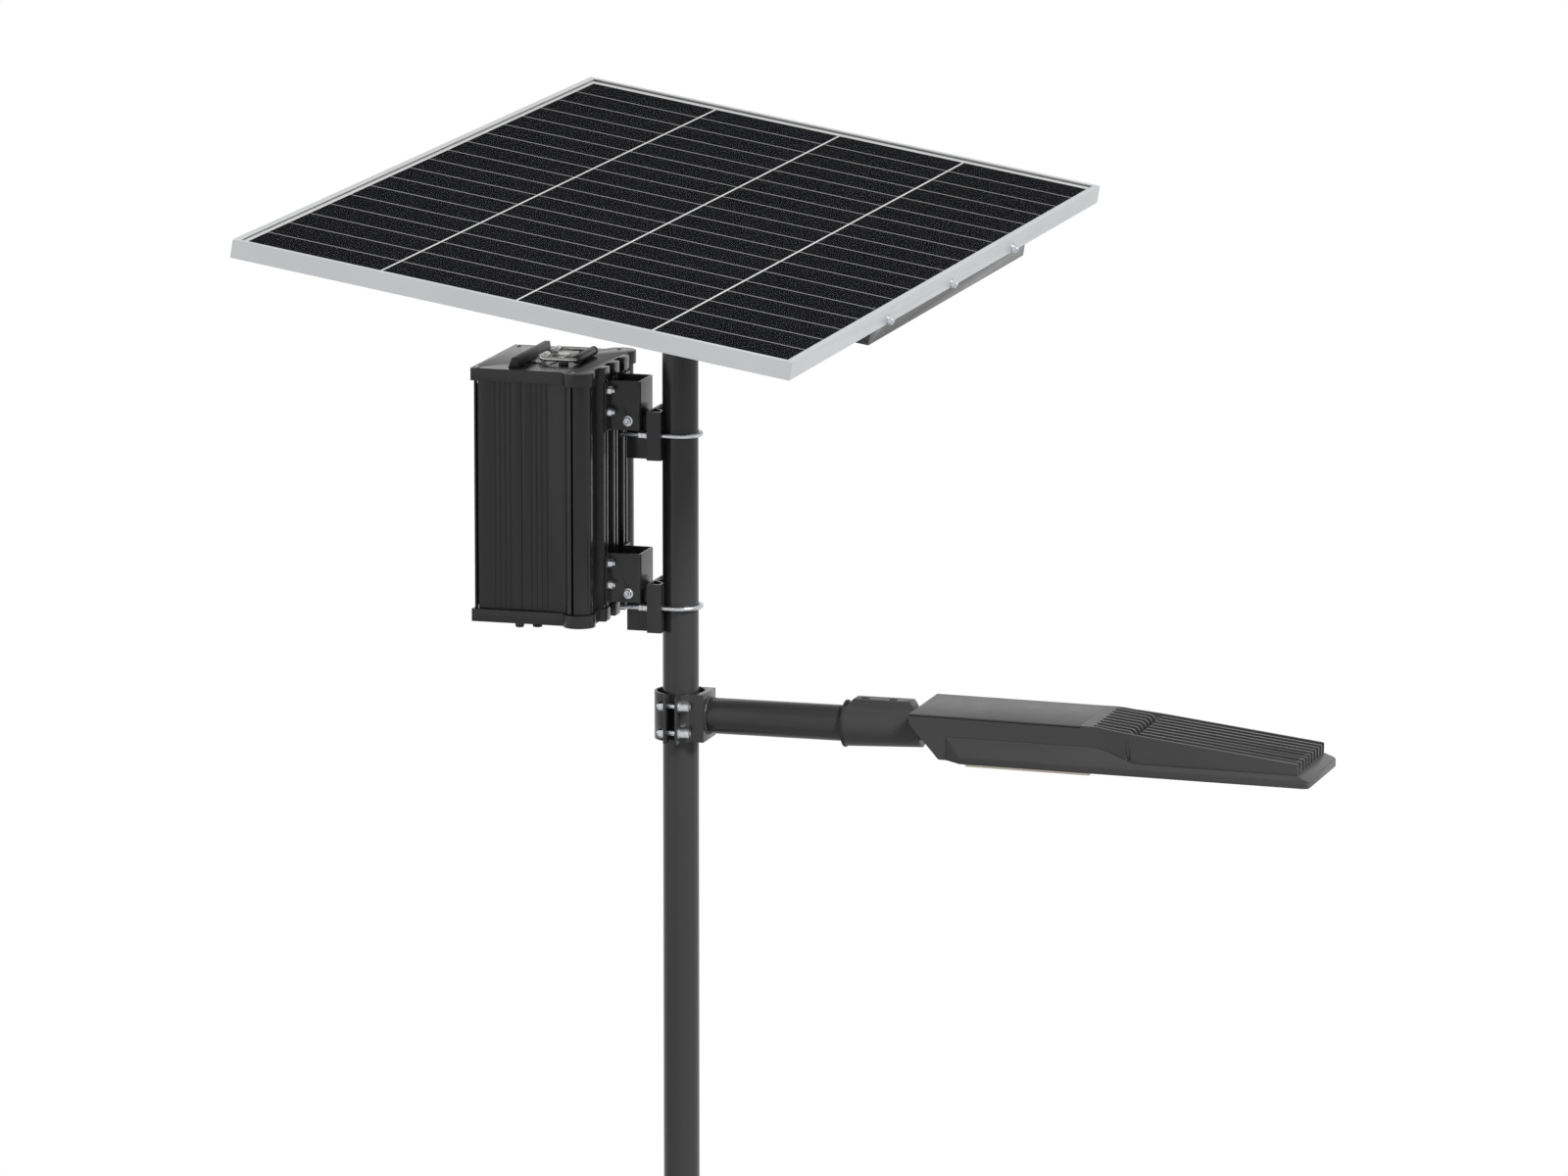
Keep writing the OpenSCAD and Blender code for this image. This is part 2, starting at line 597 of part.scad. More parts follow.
module lamp_base() color(black) lamp_frame() difference() {
  intersection() {
    translate([rear_x, 0, 0]) cross_cut(lamp_front - rear_x) skirt_section(0, -lamp_rim_z);
    side_cut(4 * lamp_rim_y) polygon(concat([[rear_x + seam, -35], [rear_x + seam, cheek_z - seam]],
      [for (p = cheek_edge) [p[0], p[1] - seam]], [[fin_end, ledge_z - seam], [lamp_front, rim_top],
      [lamp_front, -lamp_rim_z], [rim_x, -lamp_rim_z]]));
    translate([0, 0, -60]) linear_extrude(120) polygon([
      [rear_x, lamp_rear_y], [rim_x, lamp_rim_y], [lamp_front - 9, lamp_rim_y],
      [lamp_front - 2.6, lamp_rim_y - 2.6],
      [lamp_front, lamp_rim_y - 9], [lamp_front, -lamp_rim_y + 9], [lamp_front - 2.6, -lamp_rim_y + 2.6],
      [lamp_front - 9, -lamp_rim_y], [rim_x, -lamp_rim_y], [rear_x, -lamp_rear_y]]);
  }
  // open inside, with a floor and a ledge round the light window
  intersection() {
    translate([rim_x + 2, 0, 0]) cross_cut(lamp_front - rim_x - 32)
      skirt_section(lamp_wall, -lamp_rim_z + base_floor);
    side_cut(4 * lamp_rim_y) polygon([[rim_x + 2, -lamp_rim_z], [rim_x + 2, 20], [lamp_front, 20],
      [lamp_front - 30, -lamp_rim_z]]);
  }
  translate([rim_x + window_edge, -lens_y + window_edge, -lamp_rim_z - eps])
    cube([lens_len - 2 * window_edge, 2 * (lens_y - window_edge), base_floor + 2 * eps]);
}

base_floor = 5;
window_edge = 10;
lens_wall = 2.5;
lens_gasket_t = 1.5;

// The lens is a shallow tray with bevelled walls.
module lens_section(inset, z0, z1, bevel) polygon([[-lens_y + inset, z1], [lens_y - inset, z1],
  [lens_y - inset - bevel, z0], [-lens_y + inset + bevel, z0]]);
module lens_side(inset, z0, z1, bevel) polygon([[rim_x + inset, z1], [rim_x + lens_len - inset, z1],
  [rim_x + lens_len - inset - bevel, z0], [rim_x + inset + bevel, z0]]);
module lens_block(inset, z0, z1, bevel) intersection() {
  translate([rim_x, 0, 0]) cross_cut(lens_len) lens_section(inset, z0, z1, bevel);
  side_cut(4 * lens_y) lens_side(inset, z0, z1, bevel);
}

module lamp_lens() color([0.93, 0.91, 0.82, 0.8]) lamp_frame() difference() {
  lens_block(0, -lamp_rim_z - lens_drop, -lamp_rim_z - lens_gasket_t, 4);
  lens_block(lens_wall, -lamp_rim_z - lens_drop + lens_wall, -lamp_rim_z, 3);
}

module lamp_gasket() color("#202020") lamp_frame()
  translate([rim_x, -lens_y, -lamp_rim_z - lens_gasket_t]) difference() {
    translate([0.5, 0.5, 0]) cube([lens_len - 1, 2 * lens_y - 1, lens_gasket_t]);
    translate([5, 5, -eps]) cube([lens_len - 10, 2 * lens_y - 10, lens_gasket_t + 2 * eps]);
  }

board_t = 2;
board_edge = 4;
module led_board() color("#e8e8e4") lamp_frame()
  translate([rim_x + board_edge, -lens_y + board_edge, -lamp_rim_z + base_floor])
    cube([lens_len - 2 * board_edge, 2 * (lens_y - board_edge), board_t]);

led_cols = 12;
led_rows = 6;
chip_t = 1.2;
module led_chips() color("#f2d64b") lamp_frame()
  translate([rim_x + lens_len / 2, 0, -lamp_rim_z + base_floor - chip_t]) linear_extrude(chip_t)
    for (i = [0:led_cols - 1], j = [0:led_rows - 1])
      translate([(i - (led_cols - 1) / 2) * 15, (j - (led_rows - 1) / 2) * 20]) square(5, center = true);

module led_driver() color("#d9dadb") lamp_frame() translate([rear_x + 40, -30, cheek_z + lamp_wall]) {
  cube([150, 60, 20]);
  for (x = [-10, 150]) translate([x, 10, 0]) cube([10, 40, 3]);
}

// ---------- battery box ----------
box_z = arm_z + box_dz;
case_x1 = -box_far_x + cap_over;      // far face of the case body
case_x2 = -box_near_x;                // near wall of the case body
case_y = box_y - cap_over;
lobe_x = case_x2 - 15.5;
lobe_y = box_y - 6;
port_r = 3.5;
port_at = [[case_x1 + 5, case_y - 6], [lobe_x - 5, lobe_y + 12]];   // screw channels
rail_face_x = case_x2 + rail_out;

// Plan outline of the case, grown outwards by g, with the rails grown by rg.
module case_plan(g, rg) {
  translate([case_x1 - g, -case_y - g]) square([case_x2 - case_x1 + 2 * g, 2 * (case_y + g)]);
  for (s = [-1, 1]) {
    translate([lobe_x, s * lobe_y]) circle(r = lobe_r - cap_over + g);
    translate([lobe_x, s * (lobe_y - 12)]) square([2 * (case_x2 + g - lobe_x), 24], center = true);
  }
  for (k = [-1, 0, 1]) translate([case_x2 - eps, k * rail_pitch - rail_w / 2 - rg])
    square([rail_out + eps + min(rg, 2.5), rail_w + 2 * rg]);
}

module case_hollow() difference() {
  union() {
    translate([case_x1 + case_wall, -case_y + case_wall])
      square([case_x2 - case_x1 - 2 * case_wall - 6, 2 * (case_y - case_wall)]);
    for (s = [-1, 1]) translate([lobe_x, s * lobe_y]) circle(r = lobe_r - cap_over - case_wall);
  }
  for (s = [-1, 1], p = port_at) translate([p[0], s * p[1]]) circle(r = port_r + case_wall);
}

// Screw channels at the corners, open to the outside.
module screw_ports() for (s = [-1, 1], p = port_at) {
  translate([p[0], s * p[1]]) circle(r = port_r);
  translate([p[0], s * (p[1] + 10)]) square([4, 20], center = true);
}

body_z0 = box_z + cap_plate_t + cap_gasket_t;
body_h = box_h - 2 * (cap_plate_t + cap_gasket_t);

module case_body() color(black) translate([0, 0, body_z0]) linear_extrude(body_h) difference() {
  case_plan(0, 0);
  case_hollow();
  screw_ports();
  for (s = [-1, 1]) {
    // shallow grooves beside a middle joint line
    for (h = [-1, 1], i = [0:reed_count - 1])
      translate([-reed_mid_x + h * (18 + i * reed_pitch), s * case_y]) square([3, 2.4], center = true);
    translate([-reed_mid_x, s * case_y]) square([1.6, 4], center = true);
  }
  // T-slots
  for (k = [-1, 0, 1]) translate([rail_face_x, k * rail_pitch]) {
    translate([-slot_neck / 2, 0]) square([slot_neck + 2 * eps, slot_w], center = true);
    translate([-slot_neck - slot_depth / 2, 0]) square([slot_depth, slot_w + 8], center = true);
  }
}

slot_neck = 3;
slot_depth = 7.5;

cap_clear = 0.4;   // clearance between a cap's skirt and the case body
tooth_over = 2.5;

// An end cap: a plate with a skirt, drawn with its plate down.
module end_cap() difference() {
  linear_extrude(cap_h) case_plan(cap_over, tooth_over);
  translate([0, 0, cap_plate_t]) linear_extrude(cap_h) case_plan(cap_clear, cap_clear);
  for (s = [-1, 1], p = port_at) translate([p[0], s * p[1], -eps]) cylinder(r = 2.2, h = 20);
}

module at_top_cap() translate([0, 0, box_z + box_h]) mirror([0, 0, 1]) children();

module case_top_cap() color(black) at_top_cap() end_cap();

button_x = -227;
button_y = -70;
button_r = 4.5;
button_travel = 3;
socket_x = -258;
socket_y = -70;
socket_r = 7;

module case_bottom_cap() color(black) translate([0, 0, box_z]) difference() {
  end_cap();
  translate([button_x, button_y, -eps]) cylinder(r = button_r + pin_fit, h = cap_plate_t + 2 * eps);
  translate([socket_x, socket_y, -eps]) cylinder(r = socket_r + seat, h = cap_plate_t + 2 * eps);
}

module case_gaskets() color("#1c1c1c") for (z = [body_z0 - cap_gasket_t, body_z0 + body_h])
  translate([0, 0, z]) linear_extrude(cap_gasket_t) difference() {
    union() {
      translate([case_x1 + 0.5, -case_y + 0.5]) square([case_x2 - case_x1 - 7, 2 * case_y - 1]);
      for (s = [-1, 1]) translate([lobe_x, s * lobe_y]) circle(r = lobe_r - cap_over - 0.5);
    }
    case_hollow();
    screw_ports();
  }

cap_screw_d = 4;
module cap_screws() color(zinc) for (end = [0, 1]) translate([0, 0, box_z + end * box_h]) mirror([0, 0, end])
  for (s = [-1, 1], p = port_at) translate([p[0], s * p[1], 0]) {
    translate([0, 0, -1.4]) cylinder(d = 7, h = 1.4);
    cylinder(d = cap_screw_d, h = cap_h + 6);
  }

// ---------- handle on the box ----------
handle_z = box_z + box_h + handle_dz;
wire_r = handle_wire_d / 2;
knuckle_r = wire_r + 2.7;
knuckle_y1 = 14;
plate_t = 2;
bend_r = 8;
knuckle_y2 = handle_y - bend_r - 0.5;

module at_handle() translate([-handle_x, 0, handle_z]) children();

module handle_plate() color(alloy) {
  translate([-handle_x, 0, box_z + box_h]) {
    linear_extrude(plate_t) polygon([[-21, -46], [12, -handle_y], [18, -handle_y], [22, -30], [22, 30],
      [18, handle_y], [12, handle_y], [-21, 46]]);
    for (x = [-15, 14], y = [-24, 24]) translate([x, y, plate_t]) cylinder(d = 6, h = 1.5);
  }
  for (s = [-1, 1]) difference() {
    union() {
      at_handle() translate([0, s > 0 ? knuckle_y1 : -knuckle_y2, 0]) to_y()
        cylinder(r = knuckle_r, h = knuckle_y2 - knuckle_y1);
      translate([-handle_x - knuckle_r, s > 0 ? knuckle_y1 : -knuckle_y2, box_z + box_h + plate_t])
        cube([knuckle_r, knuckle_y2 - knuckle_y1, handle_dz - plate_t]);
    }
    at_handle() translate([0, -handle_y, 0]) to_y() cylinder(r = wire_r + pin_fit, h = 2 * handle_y);
  }
}

rest_x = 256;
module handle_rests() color("#222222") translate([0, 0, box_z + box_h]) {
  translate([-rest_x, -15, 0]) side_cut(182) polygon([[-9, 0], [9, 0], [7, 17], [-2.5, 17]]);
  for (s = [-1, 1]) translate([-handle_x + 34, s * handle_y - 6, 0])
    cube([14, 12, handle_dz - wire_r - slip]);
}

module handle_bail() color(zinc) at_handle() {
  for (s = [-1, 1]) {
    // pin in the knuckle, corner, arm, corner, and the bar through the grip
    translate([0, s > 0 ? knuckle_y1 + 2 : -handle_y + bend_r, 0]) to_y()
      cylinder(r = wire_r, h = handle_y - bend_r - knuckle_y1 - 2);
    translate([bend_r, s * (handle_y - bend_r), 0]) rotate(s > 0 ? 90 : 180)
      rotate_extrude(angle = 90) translate([bend_r, 0]) circle(r = wire_r);
    translate([bend_r, s * handle_y, 0]) to_x() cylinder(r = wire_r, h = handle_len - 2 * bend_r);
    translate([handle_len - bend_r, s * (handle_y - bend_r), 0]) rotate(s > 0 ? 0 : -90)
      rotate_extrude(angle = 90) translate([bend_r, 0]) circle(r = wire_r);
  }
  translate([handle_len, -handle_y + bend_r, 0]) to_y() cylinder(r = wire_r, h = 2 * (handle_y - bend_r));
}

grip_len = 2 * (handle_y - bend_r) + 2;
module handle_grip() color("#1e1e1e") at_handle()
  translate([handle_len, -grip_len / 2, 0]) to_y() difference() {
  union() {
    translate([0, 0, 1.5]) cylinder(d = grip_d, h = grip_len - 3);
    cylinder(r1 = grip_d / 2 - 1.5, r2 = grip_d / 2, h = 1.5);
    translate([0, 0, grip_len - 1.5]) cylinder(r1 = grip_d / 2, r2 = grip_d / 2 - 1.5, h = 1.5);
  }
  translate([0, 0, -eps]) cylinder(r = wire_r + seat, h = grip_len + 2 * eps);
}

// ---------- underside of the box ----------
button_drop = 14;
module power_button() color("#202020") translate([button_x, button_y, box_z]) {
  translate([0, 0, -button_drop]) cylinder(r1 = 7, r2 = 8, h = 1);
  translate([0, 0, -button_drop + 1]) cylinder(r = 8, h = 2.4);
  translate([0, 0, -button_drop + 3]) cylinder(r = button_r, h = button_drop + cap_plate_t - 2);
  translate([0, 0, cap_plate_t + slip]) cylinder(r = button_r + 1.5, h = 1.5);
}

module cable_socket() color("#202020") translate([socket_x, socket_y, box_z]) rotate_extrude()
  polygon([[4.5, -16], [6, -16], [7.5, -14.5], [7.5, -11], [12.5, -3.5], [12.5, 0], [socket_r, 0],
    [socket_r, cap_plate_t + 3], [4.5, cap_plate_t + 3], [4.5, -8], [0, -8], [0, -9.5], [4.5, -9.5]]);

// ---------- inside the box ----------
cell_n = 4;
cell_h = 204;
tray_wall = 2.5;
tray_z = box_z + cap_plate_t + slip;
inner_x1 = case_x1 + case_wall + 8;
inner_x2 = case_x2 - case_wall - 10;
cell_w = (2 * (case_y - case_wall) - 26 - 2 * tray_wall) / cell_n;

module cell_tray() color("#303234") {
  translate([inner_x1, -(cell_n * cell_w / 2 + tray_wall), tray_z + cell_socket_h]) difference() {
    cube([inner_x2 - inner_x1, cell_n * cell_w + 2 * tray_wall, 30]);
    for (i = [0:cell_n - 1]) translate([tray_wall, tray_wall + i * cell_w + 0.2, tray_wall])
      cube([inner_x2 - inner_x1 - 2 * tray_wall, cell_w - 0.4, 40]);
  }
  // feet that keep the tray clear of what hangs through the cap
  for (x = [inner_x1, inner_x2 - 10], s = [-1, 1]) translate([x, s * 90 - 5, tray_z])
    cube([10, 10, cell_socket_h]);
  translate([inner_x1, -(cell_n * cell_w / 2 + tray_wall), controller_z - 3])
    difference() {
      cube([inner_x2 - inner_x1, cell_n * cell_w + 2 * tray_wall, 3]);
      for (i = [0:cell_n - 1], x = [30, inner_x2 - inner_x1 - 30])
        translate([x, tray_wall + (i + 0.5) * cell_w, -eps]) cylinder(r = 9, h = 6);
    }
}

cell_socket_h = 10;

module battery_cells() color("#3d6fb0") for (i = [0:cell_n - 1])
  translate([inner_x1 + tray_wall + 0.4, (i - cell_n / 2) * cell_w + 0.6,
    tray_z + cell_socket_h + tray_wall]) {
    cube([inner_x2 - inner_x1 - 2 * tray_wall - 0.8, cell_w - 1.2, cell_h]);
    for (x = [30, inner_x2 - inner_x1 - 30]) translate([x - tray_wall - 0.4, cell_w / 2 - 0.6, cell_h])
      cylinder(r = 7, h = 6);
  }

controller_z = tray_z + cell_socket_h + tray_wall + cell_h + slip + 3;
board_x = 70;            // half-sides of the circuit board
board_y = 95;
module charge_controller() color("#2f6b46") translate([(inner_x1 + inner_x2) / 2, 0, controller_z]) {
  for (x = [-1, 1], y = [-1, 1]) translate([x * (board_x - 10), y * (board_y - 10), 0])
    cylinder(d = 8, h = 12);
  translate([-board_x, -board_y, 12]) cube([2 * board_x, 2 * board_y, 2]);
  translate([-55, -80, 14]) cube([50, 100, 30]);
  translate([10, -80, 14]) cube([45, 60, 18]);
  for (i = [0:5]) translate([-60 + i * 20, 60, 14]) cube([14, 18, 16]);
}

// ---------- box brackets ----------
hat_z = [box_z + box_h - hat_drop, box_z + hat_rise];
hat_foot_y = rail_pitch + rail_w / 2 + 2;
hat_foot_x = rail_face_x + seat;
t_bolt_z = [27, -9];
cross_x = -79.5;
cross_z = -25.5;
bend = 6;

// Plan outline of the folded hat: two feet, two sides and a web with round bends.
module hat_plan() difference() {
  union() {
    translate([hat_foot_x, -hat_foot_y]) square([sheet_t, 2 * hat_foot_y]);
    translate([hat_foot_x, -hat_y]) square([-hat_web_x - hat_foot_x - bend, 2 * hat_y]);
    translate([hat_foot_x, -hat_y + bend]) square([-hat_web_x - hat_foot_x, 2 * (hat_y - bend)]);
    for (s = [-1, 1]) translate([-hat_web_x - bend, s * (hat_y - bend)]) circle(r = bend);
  }
  translate([hat_foot_x - eps, -hat_y + sheet_t])
    square([-hat_web_x - hat_foot_x - bend + eps, 2 * (hat_y - sheet_t)]);
  translate([hat_foot_x - eps, -hat_y + bend])
    square([-hat_web_x - hat_foot_x - sheet_t + eps, 2 * (hat_y - bend)]);
  for (s = [-1, 1]) translate([-hat_web_x - bend, s * (hat_y - bend)]) circle(r = bend - sheet_t);
}

module case_bracket(z) color(black) translate([0, 0, z]) difference() {
  translate([0, 0, -hat_h / 2]) linear_extrude(hat_h) hat_plan();
  for (s = [-1, 1], h = t_bolt_z) translate([hat_foot_x - eps, s * rail_pitch, h]) to_x()
    cylinder(r = t_bolt_d / 2 + bolt_fit, h = sheet_t + 2 * eps);
  translate([cross_x, -hat_y - eps, cross_z]) to_y()
    cylinder(r = cross_bolt_d / 2 + bolt_fit, h = 2 * (hat_y + eps));
}

module case_bracket_upper() case_bracket(hat_z[0]);
module case_bracket_lower() case_bracket(hat_z[1]);

// T-bolts: a flat head in the slot, the shank through the foot, a washer and a nut outside.
t_head_t = 4;
module t_bolts() color(zinc) for (z = hat_z, s = [-1, 1], h = t_bolt_z)
  translate([0, s * rail_pitch, z + h]) {
  translate([rail_face_x - slot_neck - seat - t_head_t, -slot_w / 2 - 2.5, -5])
    cube([t_head_t, slot_w + 5, 10]);
  translate([rail_face_x - slot_neck - seat, 0, 0]) to_x()
    cylinder(d = t_bolt_d, h = slot_neck + sheet_t + 2 * seat + washer_t(t_bolt_d) + nut_h(t_bolt_d) + 4);
  translate([hat_foot_x + sheet_t, 0, 0]) to_x() nut_and_washer(t_bolt_d);
}

// ---------- pole brackets ----------
saddle_x1 = -46;         // back of the saddle's back plate
saddle_x2 = -21.5;       // open front edges of the V
leg_y = 26.5;            // outer face of a leg
leg_x = -85;             // far end of the legs' lower part
hook_gap = 1;            // gap between the hook slot and the hat's web
bolt_leg_y = pole_r + u_bolt_d / 2 + seat;   // where the U-bolt's legs run
v_apex_x = -(pole_r + seat) * sqrt(2);
function v_outer(x) = x - v_apex_x + sheet_t * sqrt(2);   // back of a V plate at this x

module saddle_plan() difference() {
  translate([saddle_x1, -saddle_y]) square([saddle_x2 - saddle_x1, 2 * saddle_y]);
  // V that takes the pole
  polygon([[v_apex_x, 0], [0, -v_apex_x], [0, v_apex_x]]);
  // hollow between the side flange, the back plate and the V plates
  for (s = [0, 1]) mirror([0, s]) polygon([
    [saddle_x1 + sheet_t, v_outer(saddle_x1 + sheet_t)], [saddle_x2 - sheet_t, v_outer(saddle_x2 - sheet_t)],
    [saddle_x2 - sheet_t, saddle_y - sheet_t], [saddle_x1 + sheet_t, saddle_y - sheet_t]]);
}

module pole_bracket(z) color(black) translate([0, 0, z]) {
  difference() {
    translate([0, 0, -saddle_drop - saddle_h / 2]) linear_extrude(saddle_h) saddle_plan();
    for (s = [-1, 1]) translate([saddle_x1 - eps, s * bolt_leg_y, -saddle_drop]) to_x()
      cylinder(r = u_bolt_d / 2 + bolt_fit, h = saddle_x2 - saddle_x1 + 2 * eps);
  }
  foot_z = -saddle_drop - saddle_h / 2;
  difference() {
    union() {
      for (s = [-1, 1]) translate([0, s * (leg_y - sheet_t / 2), 0]) side_cut(sheet_t) {
        polygon([[saddle_x1, foot_z], [leg_x, foot_z], [leg_x, -hat_h / 2 - 2], [cross_x - 12, cross_z],
          [cross_x + 12, cross_z], [-hat_web_x - sheet_t - hook_gap, -hat_h / 2 - hook_gap],
          [-hat_web_x + hook_gap, -hat_h / 2 - hook_gap], [-hat_web_x + hook_gap, -18], [saddle_x1, -9]]);
        translate([cross_x, cross_z]) circle(r = 12);
      }
      translate([leg_x, -leg_y, foot_z]) cube([sheet_t, 2 * leg_y, -hat_h / 2 - 2 - foot_z]);
    }
    translate([cross_x, -leg_y - eps, cross_z]) to_y()
      cylinder(r = cross_bolt_d / 2 + bolt_fit, h = 2 * (leg_y + eps));
  }
}

module pole_bracket_upper() pole_bracket(hat_z[0]);
module pole_bracket_lower() pole_bracket(hat_z[1]);

module cross_bolts() color(zinc) for (z = hat_z) translate([cross_x, 0, z + cross_z]) {
  translate([0, -hat_y, 0]) rotate([90, 0, 0]) {
    cylinder(r = 1.1 * cross_bolt_d, h = washer_t(cross_bolt_d));
    translate([0, 0, washer_t(cross_bolt_d)])
      socket_screw(cross_bolt_d, 2 * hat_y + 2 * washer_t(cross_bolt_d) + nut_h(cross_bolt_d) + 3, 6.5);
  }
  translate([0, hat_y, 0]) to_y() nut_and_washer(cross_bolt_d);
  for (s = [-1, 1]) translate([0, s > 0 ? leg_y + seat : -hat_y + sheet_t + seat, 0]) to_y()
    ring(cross_bolt_d / 2 + 3, cross_bolt_d / 2 + seat, hat_y - sheet_t - leg_y - 2 * seat);
}

u_bolt_end_x = -94;
module u_bolts() color(zinc) for (z = hat_z) translate([0, 0, z - saddle_drop]) {
  rotate(-90) rotate_extrude(angle = 180) translate([bolt_leg_y, 0]) circle(d = u_bolt_d);
  for (s = [-1, 1]) translate([0, s * bolt_leg_y, 0]) to_minus_x() cylinder(d = u_bolt_d, h = -u_bolt_end_x);
}

module u_bolt_nuts() color(zinc) for (z = hat_z, s = [-1, 1])
  translate([saddle_x1, s * bolt_leg_y, z - saddle_drop]) to_minus_x() {
    difference() {
      cylinder(r = 0.85 * u_bolt_d, h = 2.5);
      translate([0, 0, -eps]) cylinder(r = u_bolt_d / 2 + seat, h = 5);
    }
    for (k = [0, 1]) translate([0, 0, 2.5 + k * (nut_h(u_bolt_d) + 0.4)]) difference() {
      hex_prism(1.5 * u_bolt_d + 0.6, nut_h(u_bolt_d));
      translate([0, 0, -eps]) cylinder(r = u_bolt_d / 2 + seat, h = 20);
    }
  }

// ---------- pole-top mount ----------
tilt_z = pole_height + tilt_rise;
ear_in = 30;             // inner face of an ear
ear_w = 34;              // half-width of an ear
ear_top_r = 17;
cap_t = 8;

module ear_outline() {
  circle(r = ear_top_r);
  polygon([[-ear_top_r, 0], [ear_top_r, 0], [ear_w - 6, -lock_r + 14], [ear_w - 6, -tilt_rise + cap_t + slip],
    [-ear_w, -tilt_rise + cap_t + slip], [-ear_w, -lock_r + 14]]);
}

module pole_sleeve() color(black) {
  translate([0, 0, pole_height - sleeve_len]) difference() {
    cylinder(r = pole_r + pin_fit + sleeve_wall, h = sleeve_len + slip + cap_t);
    translate([0, 0, -eps]) cylinder(r = pole_r + pin_fit, h = sleeve_len + slip + eps);
    for (a = [30, 150, 270], h = [22, 62]) translate([0, 0, h]) rotate([0, 90, a])
      cylinder(r = set_screw_d / 2 + seat, h = pole_r + 2 * sleeve_wall);
  }
  translate([-ear_w, -ear_in - ear_t, pole_height + slip]) cube([2 * ear_w - 6, 2 * (ear_in + ear_t), cap_t]);
  for (s = [-1, 1]) translate([0, s * (ear_in + ear_t / 2), tilt_z]) difference() {
    side_cut(ear_t) ear_outline();
    translate([0, -ear_t, 0]) to_y() cylinder(r = tilt_bolt_d / 2 + seat, h = 2 * ear_t);
    // curved slot for the lock bolt
    rotate([90, 0, 0]) translate([0, 0, -ear_t]) {
      rotate(270 - tilt_max - 1) rotate_extrude(angle = tilt_max + 2)
        translate([lock_r - lock_bolt_d / 2 - slip, 0]) square([lock_bolt_d + 2 * slip, 2 * ear_t]);
      for (a = [-1, tilt_max + 1]) rotate(270 - a) translate([lock_r, 0, 0])
        cylinder(r = lock_bolt_d / 2 + slip, h = 2 * ear_t);
    }
  }
}

set_screw_d = 8;
module sleeve_screws() color(zinc) for (a = [30, 150, 270], h = [22, 62])
  translate([0, 0, pole_height - sleeve_len + h]) rotate([0, 90, a]) translate([0, 0, pole_r + slip]) {
    cylinder(d = set_screw_d, h = sleeve_wall + 5);
    translate([0, 0, sleeve_wall + 1]) hex_prism(hex_af(set_screw_d), 5);
  }

// The tilt axis bolt is held by the ears; the panel's lugs turn on it.
module tilt_pivot_bolt() color(zinc) translate([0, 0, tilt_z]) {
  translate([0, -ear_in - ear_t, 0]) rotate([90, 0, 0])
    hex_bolt(tilt_bolt_d, 2 * (ear_in + ear_t) + washer_t(tilt_bolt_d) + nut_h(tilt_bolt_d) + 3);
  translate([0, ear_in + ear_t, 0]) to_y() nut_and_washer(tilt_bolt_d);
}

// ---------- panel ----------
// Its own frame has the tilt axis at the origin and the glass side up.
module panel_frame() translate([0, 0, tilt_z]) rotate([0, panel_tilt, 0]) children();

lug_t = 8;
lug_w = 22;
saddle_t = 6;
beam_top = panel_top - 12.2;
plate_z = beam_top - beam_side - saddle_t;
plate_x = 90;            // half-length and half-width of the plate under the beams
plate_y = beam_y + 25;
beam_bolt_x = 60;

module at_beam_bolts() for (x = [-beam_bolt_x, beam_bolt_x], s = [-1, 1])
  translate([x, s * beam_y, plate_z]) children();

module panel_saddle() color(black) panel_frame() {
  difference() {
    translate([-plate_x, -plate_y, plate_z]) cube([2 * plate_x, 2 * plate_y, saddle_t]);
    at_beam_bolts() translate([0, 0, -eps]) cylinder(r = rail_bolt_d / 2 + bolt_fit, h = saddle_t + 2 * eps);
  }
  for (s = [-1, 1]) translate([0, s * (ear_in - slip - lug_t / 2), 0]) difference() {
    side_cut(lug_t) {
      polygon([[-lug_w, -lock_r + 8], [lug_w, -lock_r + 8], [lug_w + 14, plate_z], [-lug_w - 14, plate_z]]);
      translate([0, -lock_r + 8]) intersection() {
        circle(r = lug_w);
        translate([-lug_w, -lug_w + 1]) square([2 * lug_w, lug_w]);
      }
    }
    translate([0, -lug_t, 0]) to_y() cylinder(r = tilt_bolt_d / 2 + pin_fit, h = 2 * lug_t);
    translate([0, -lug_t, -lock_r]) to_y() cylinder(r = lock_bolt_d / 2 + seat, h = 2 * lug_t);
  }
}

module tilt_lock_bolt() color(zinc) panel_frame() translate([0, 0, -lock_r]) {
  translate([0, -ear_in - ear_t - slip, 0]) rotate([90, 0, 0])
    hex_bolt(lock_bolt_d, 2 * (ear_in + ear_t + slip) + washer_t(lock_bolt_d) + nut_h(lock_bolt_d) + 3);
  translate([0, ear_in + ear_t + slip, 0]) to_y() nut_and_washer(lock_bolt_d);
}

web_t = 3;
web_x = panel_w / 2 - frame_wall - seat;      // outer face of a rail's web

beam_wall = 2;
module cross_beams() color(alloy) panel_frame() difference() {
  for (s = [-1, 1]) translate([-web_x + web_t + seat, s * beam_y, beam_top - beam_side / 2])
    cross_cut(2 * (web_x - web_t - seat)) difference() {
      square([beam_side, beam_side], center = true);
      square([beam_side - 2 * beam_wall, beam_side - 2 * beam_wall], center = true);
    }
  at_beam_bolts() cylinder(r = rail_bolt_d / 2 + bolt_fit, h = saddle_t + beam_wall + eps);
}

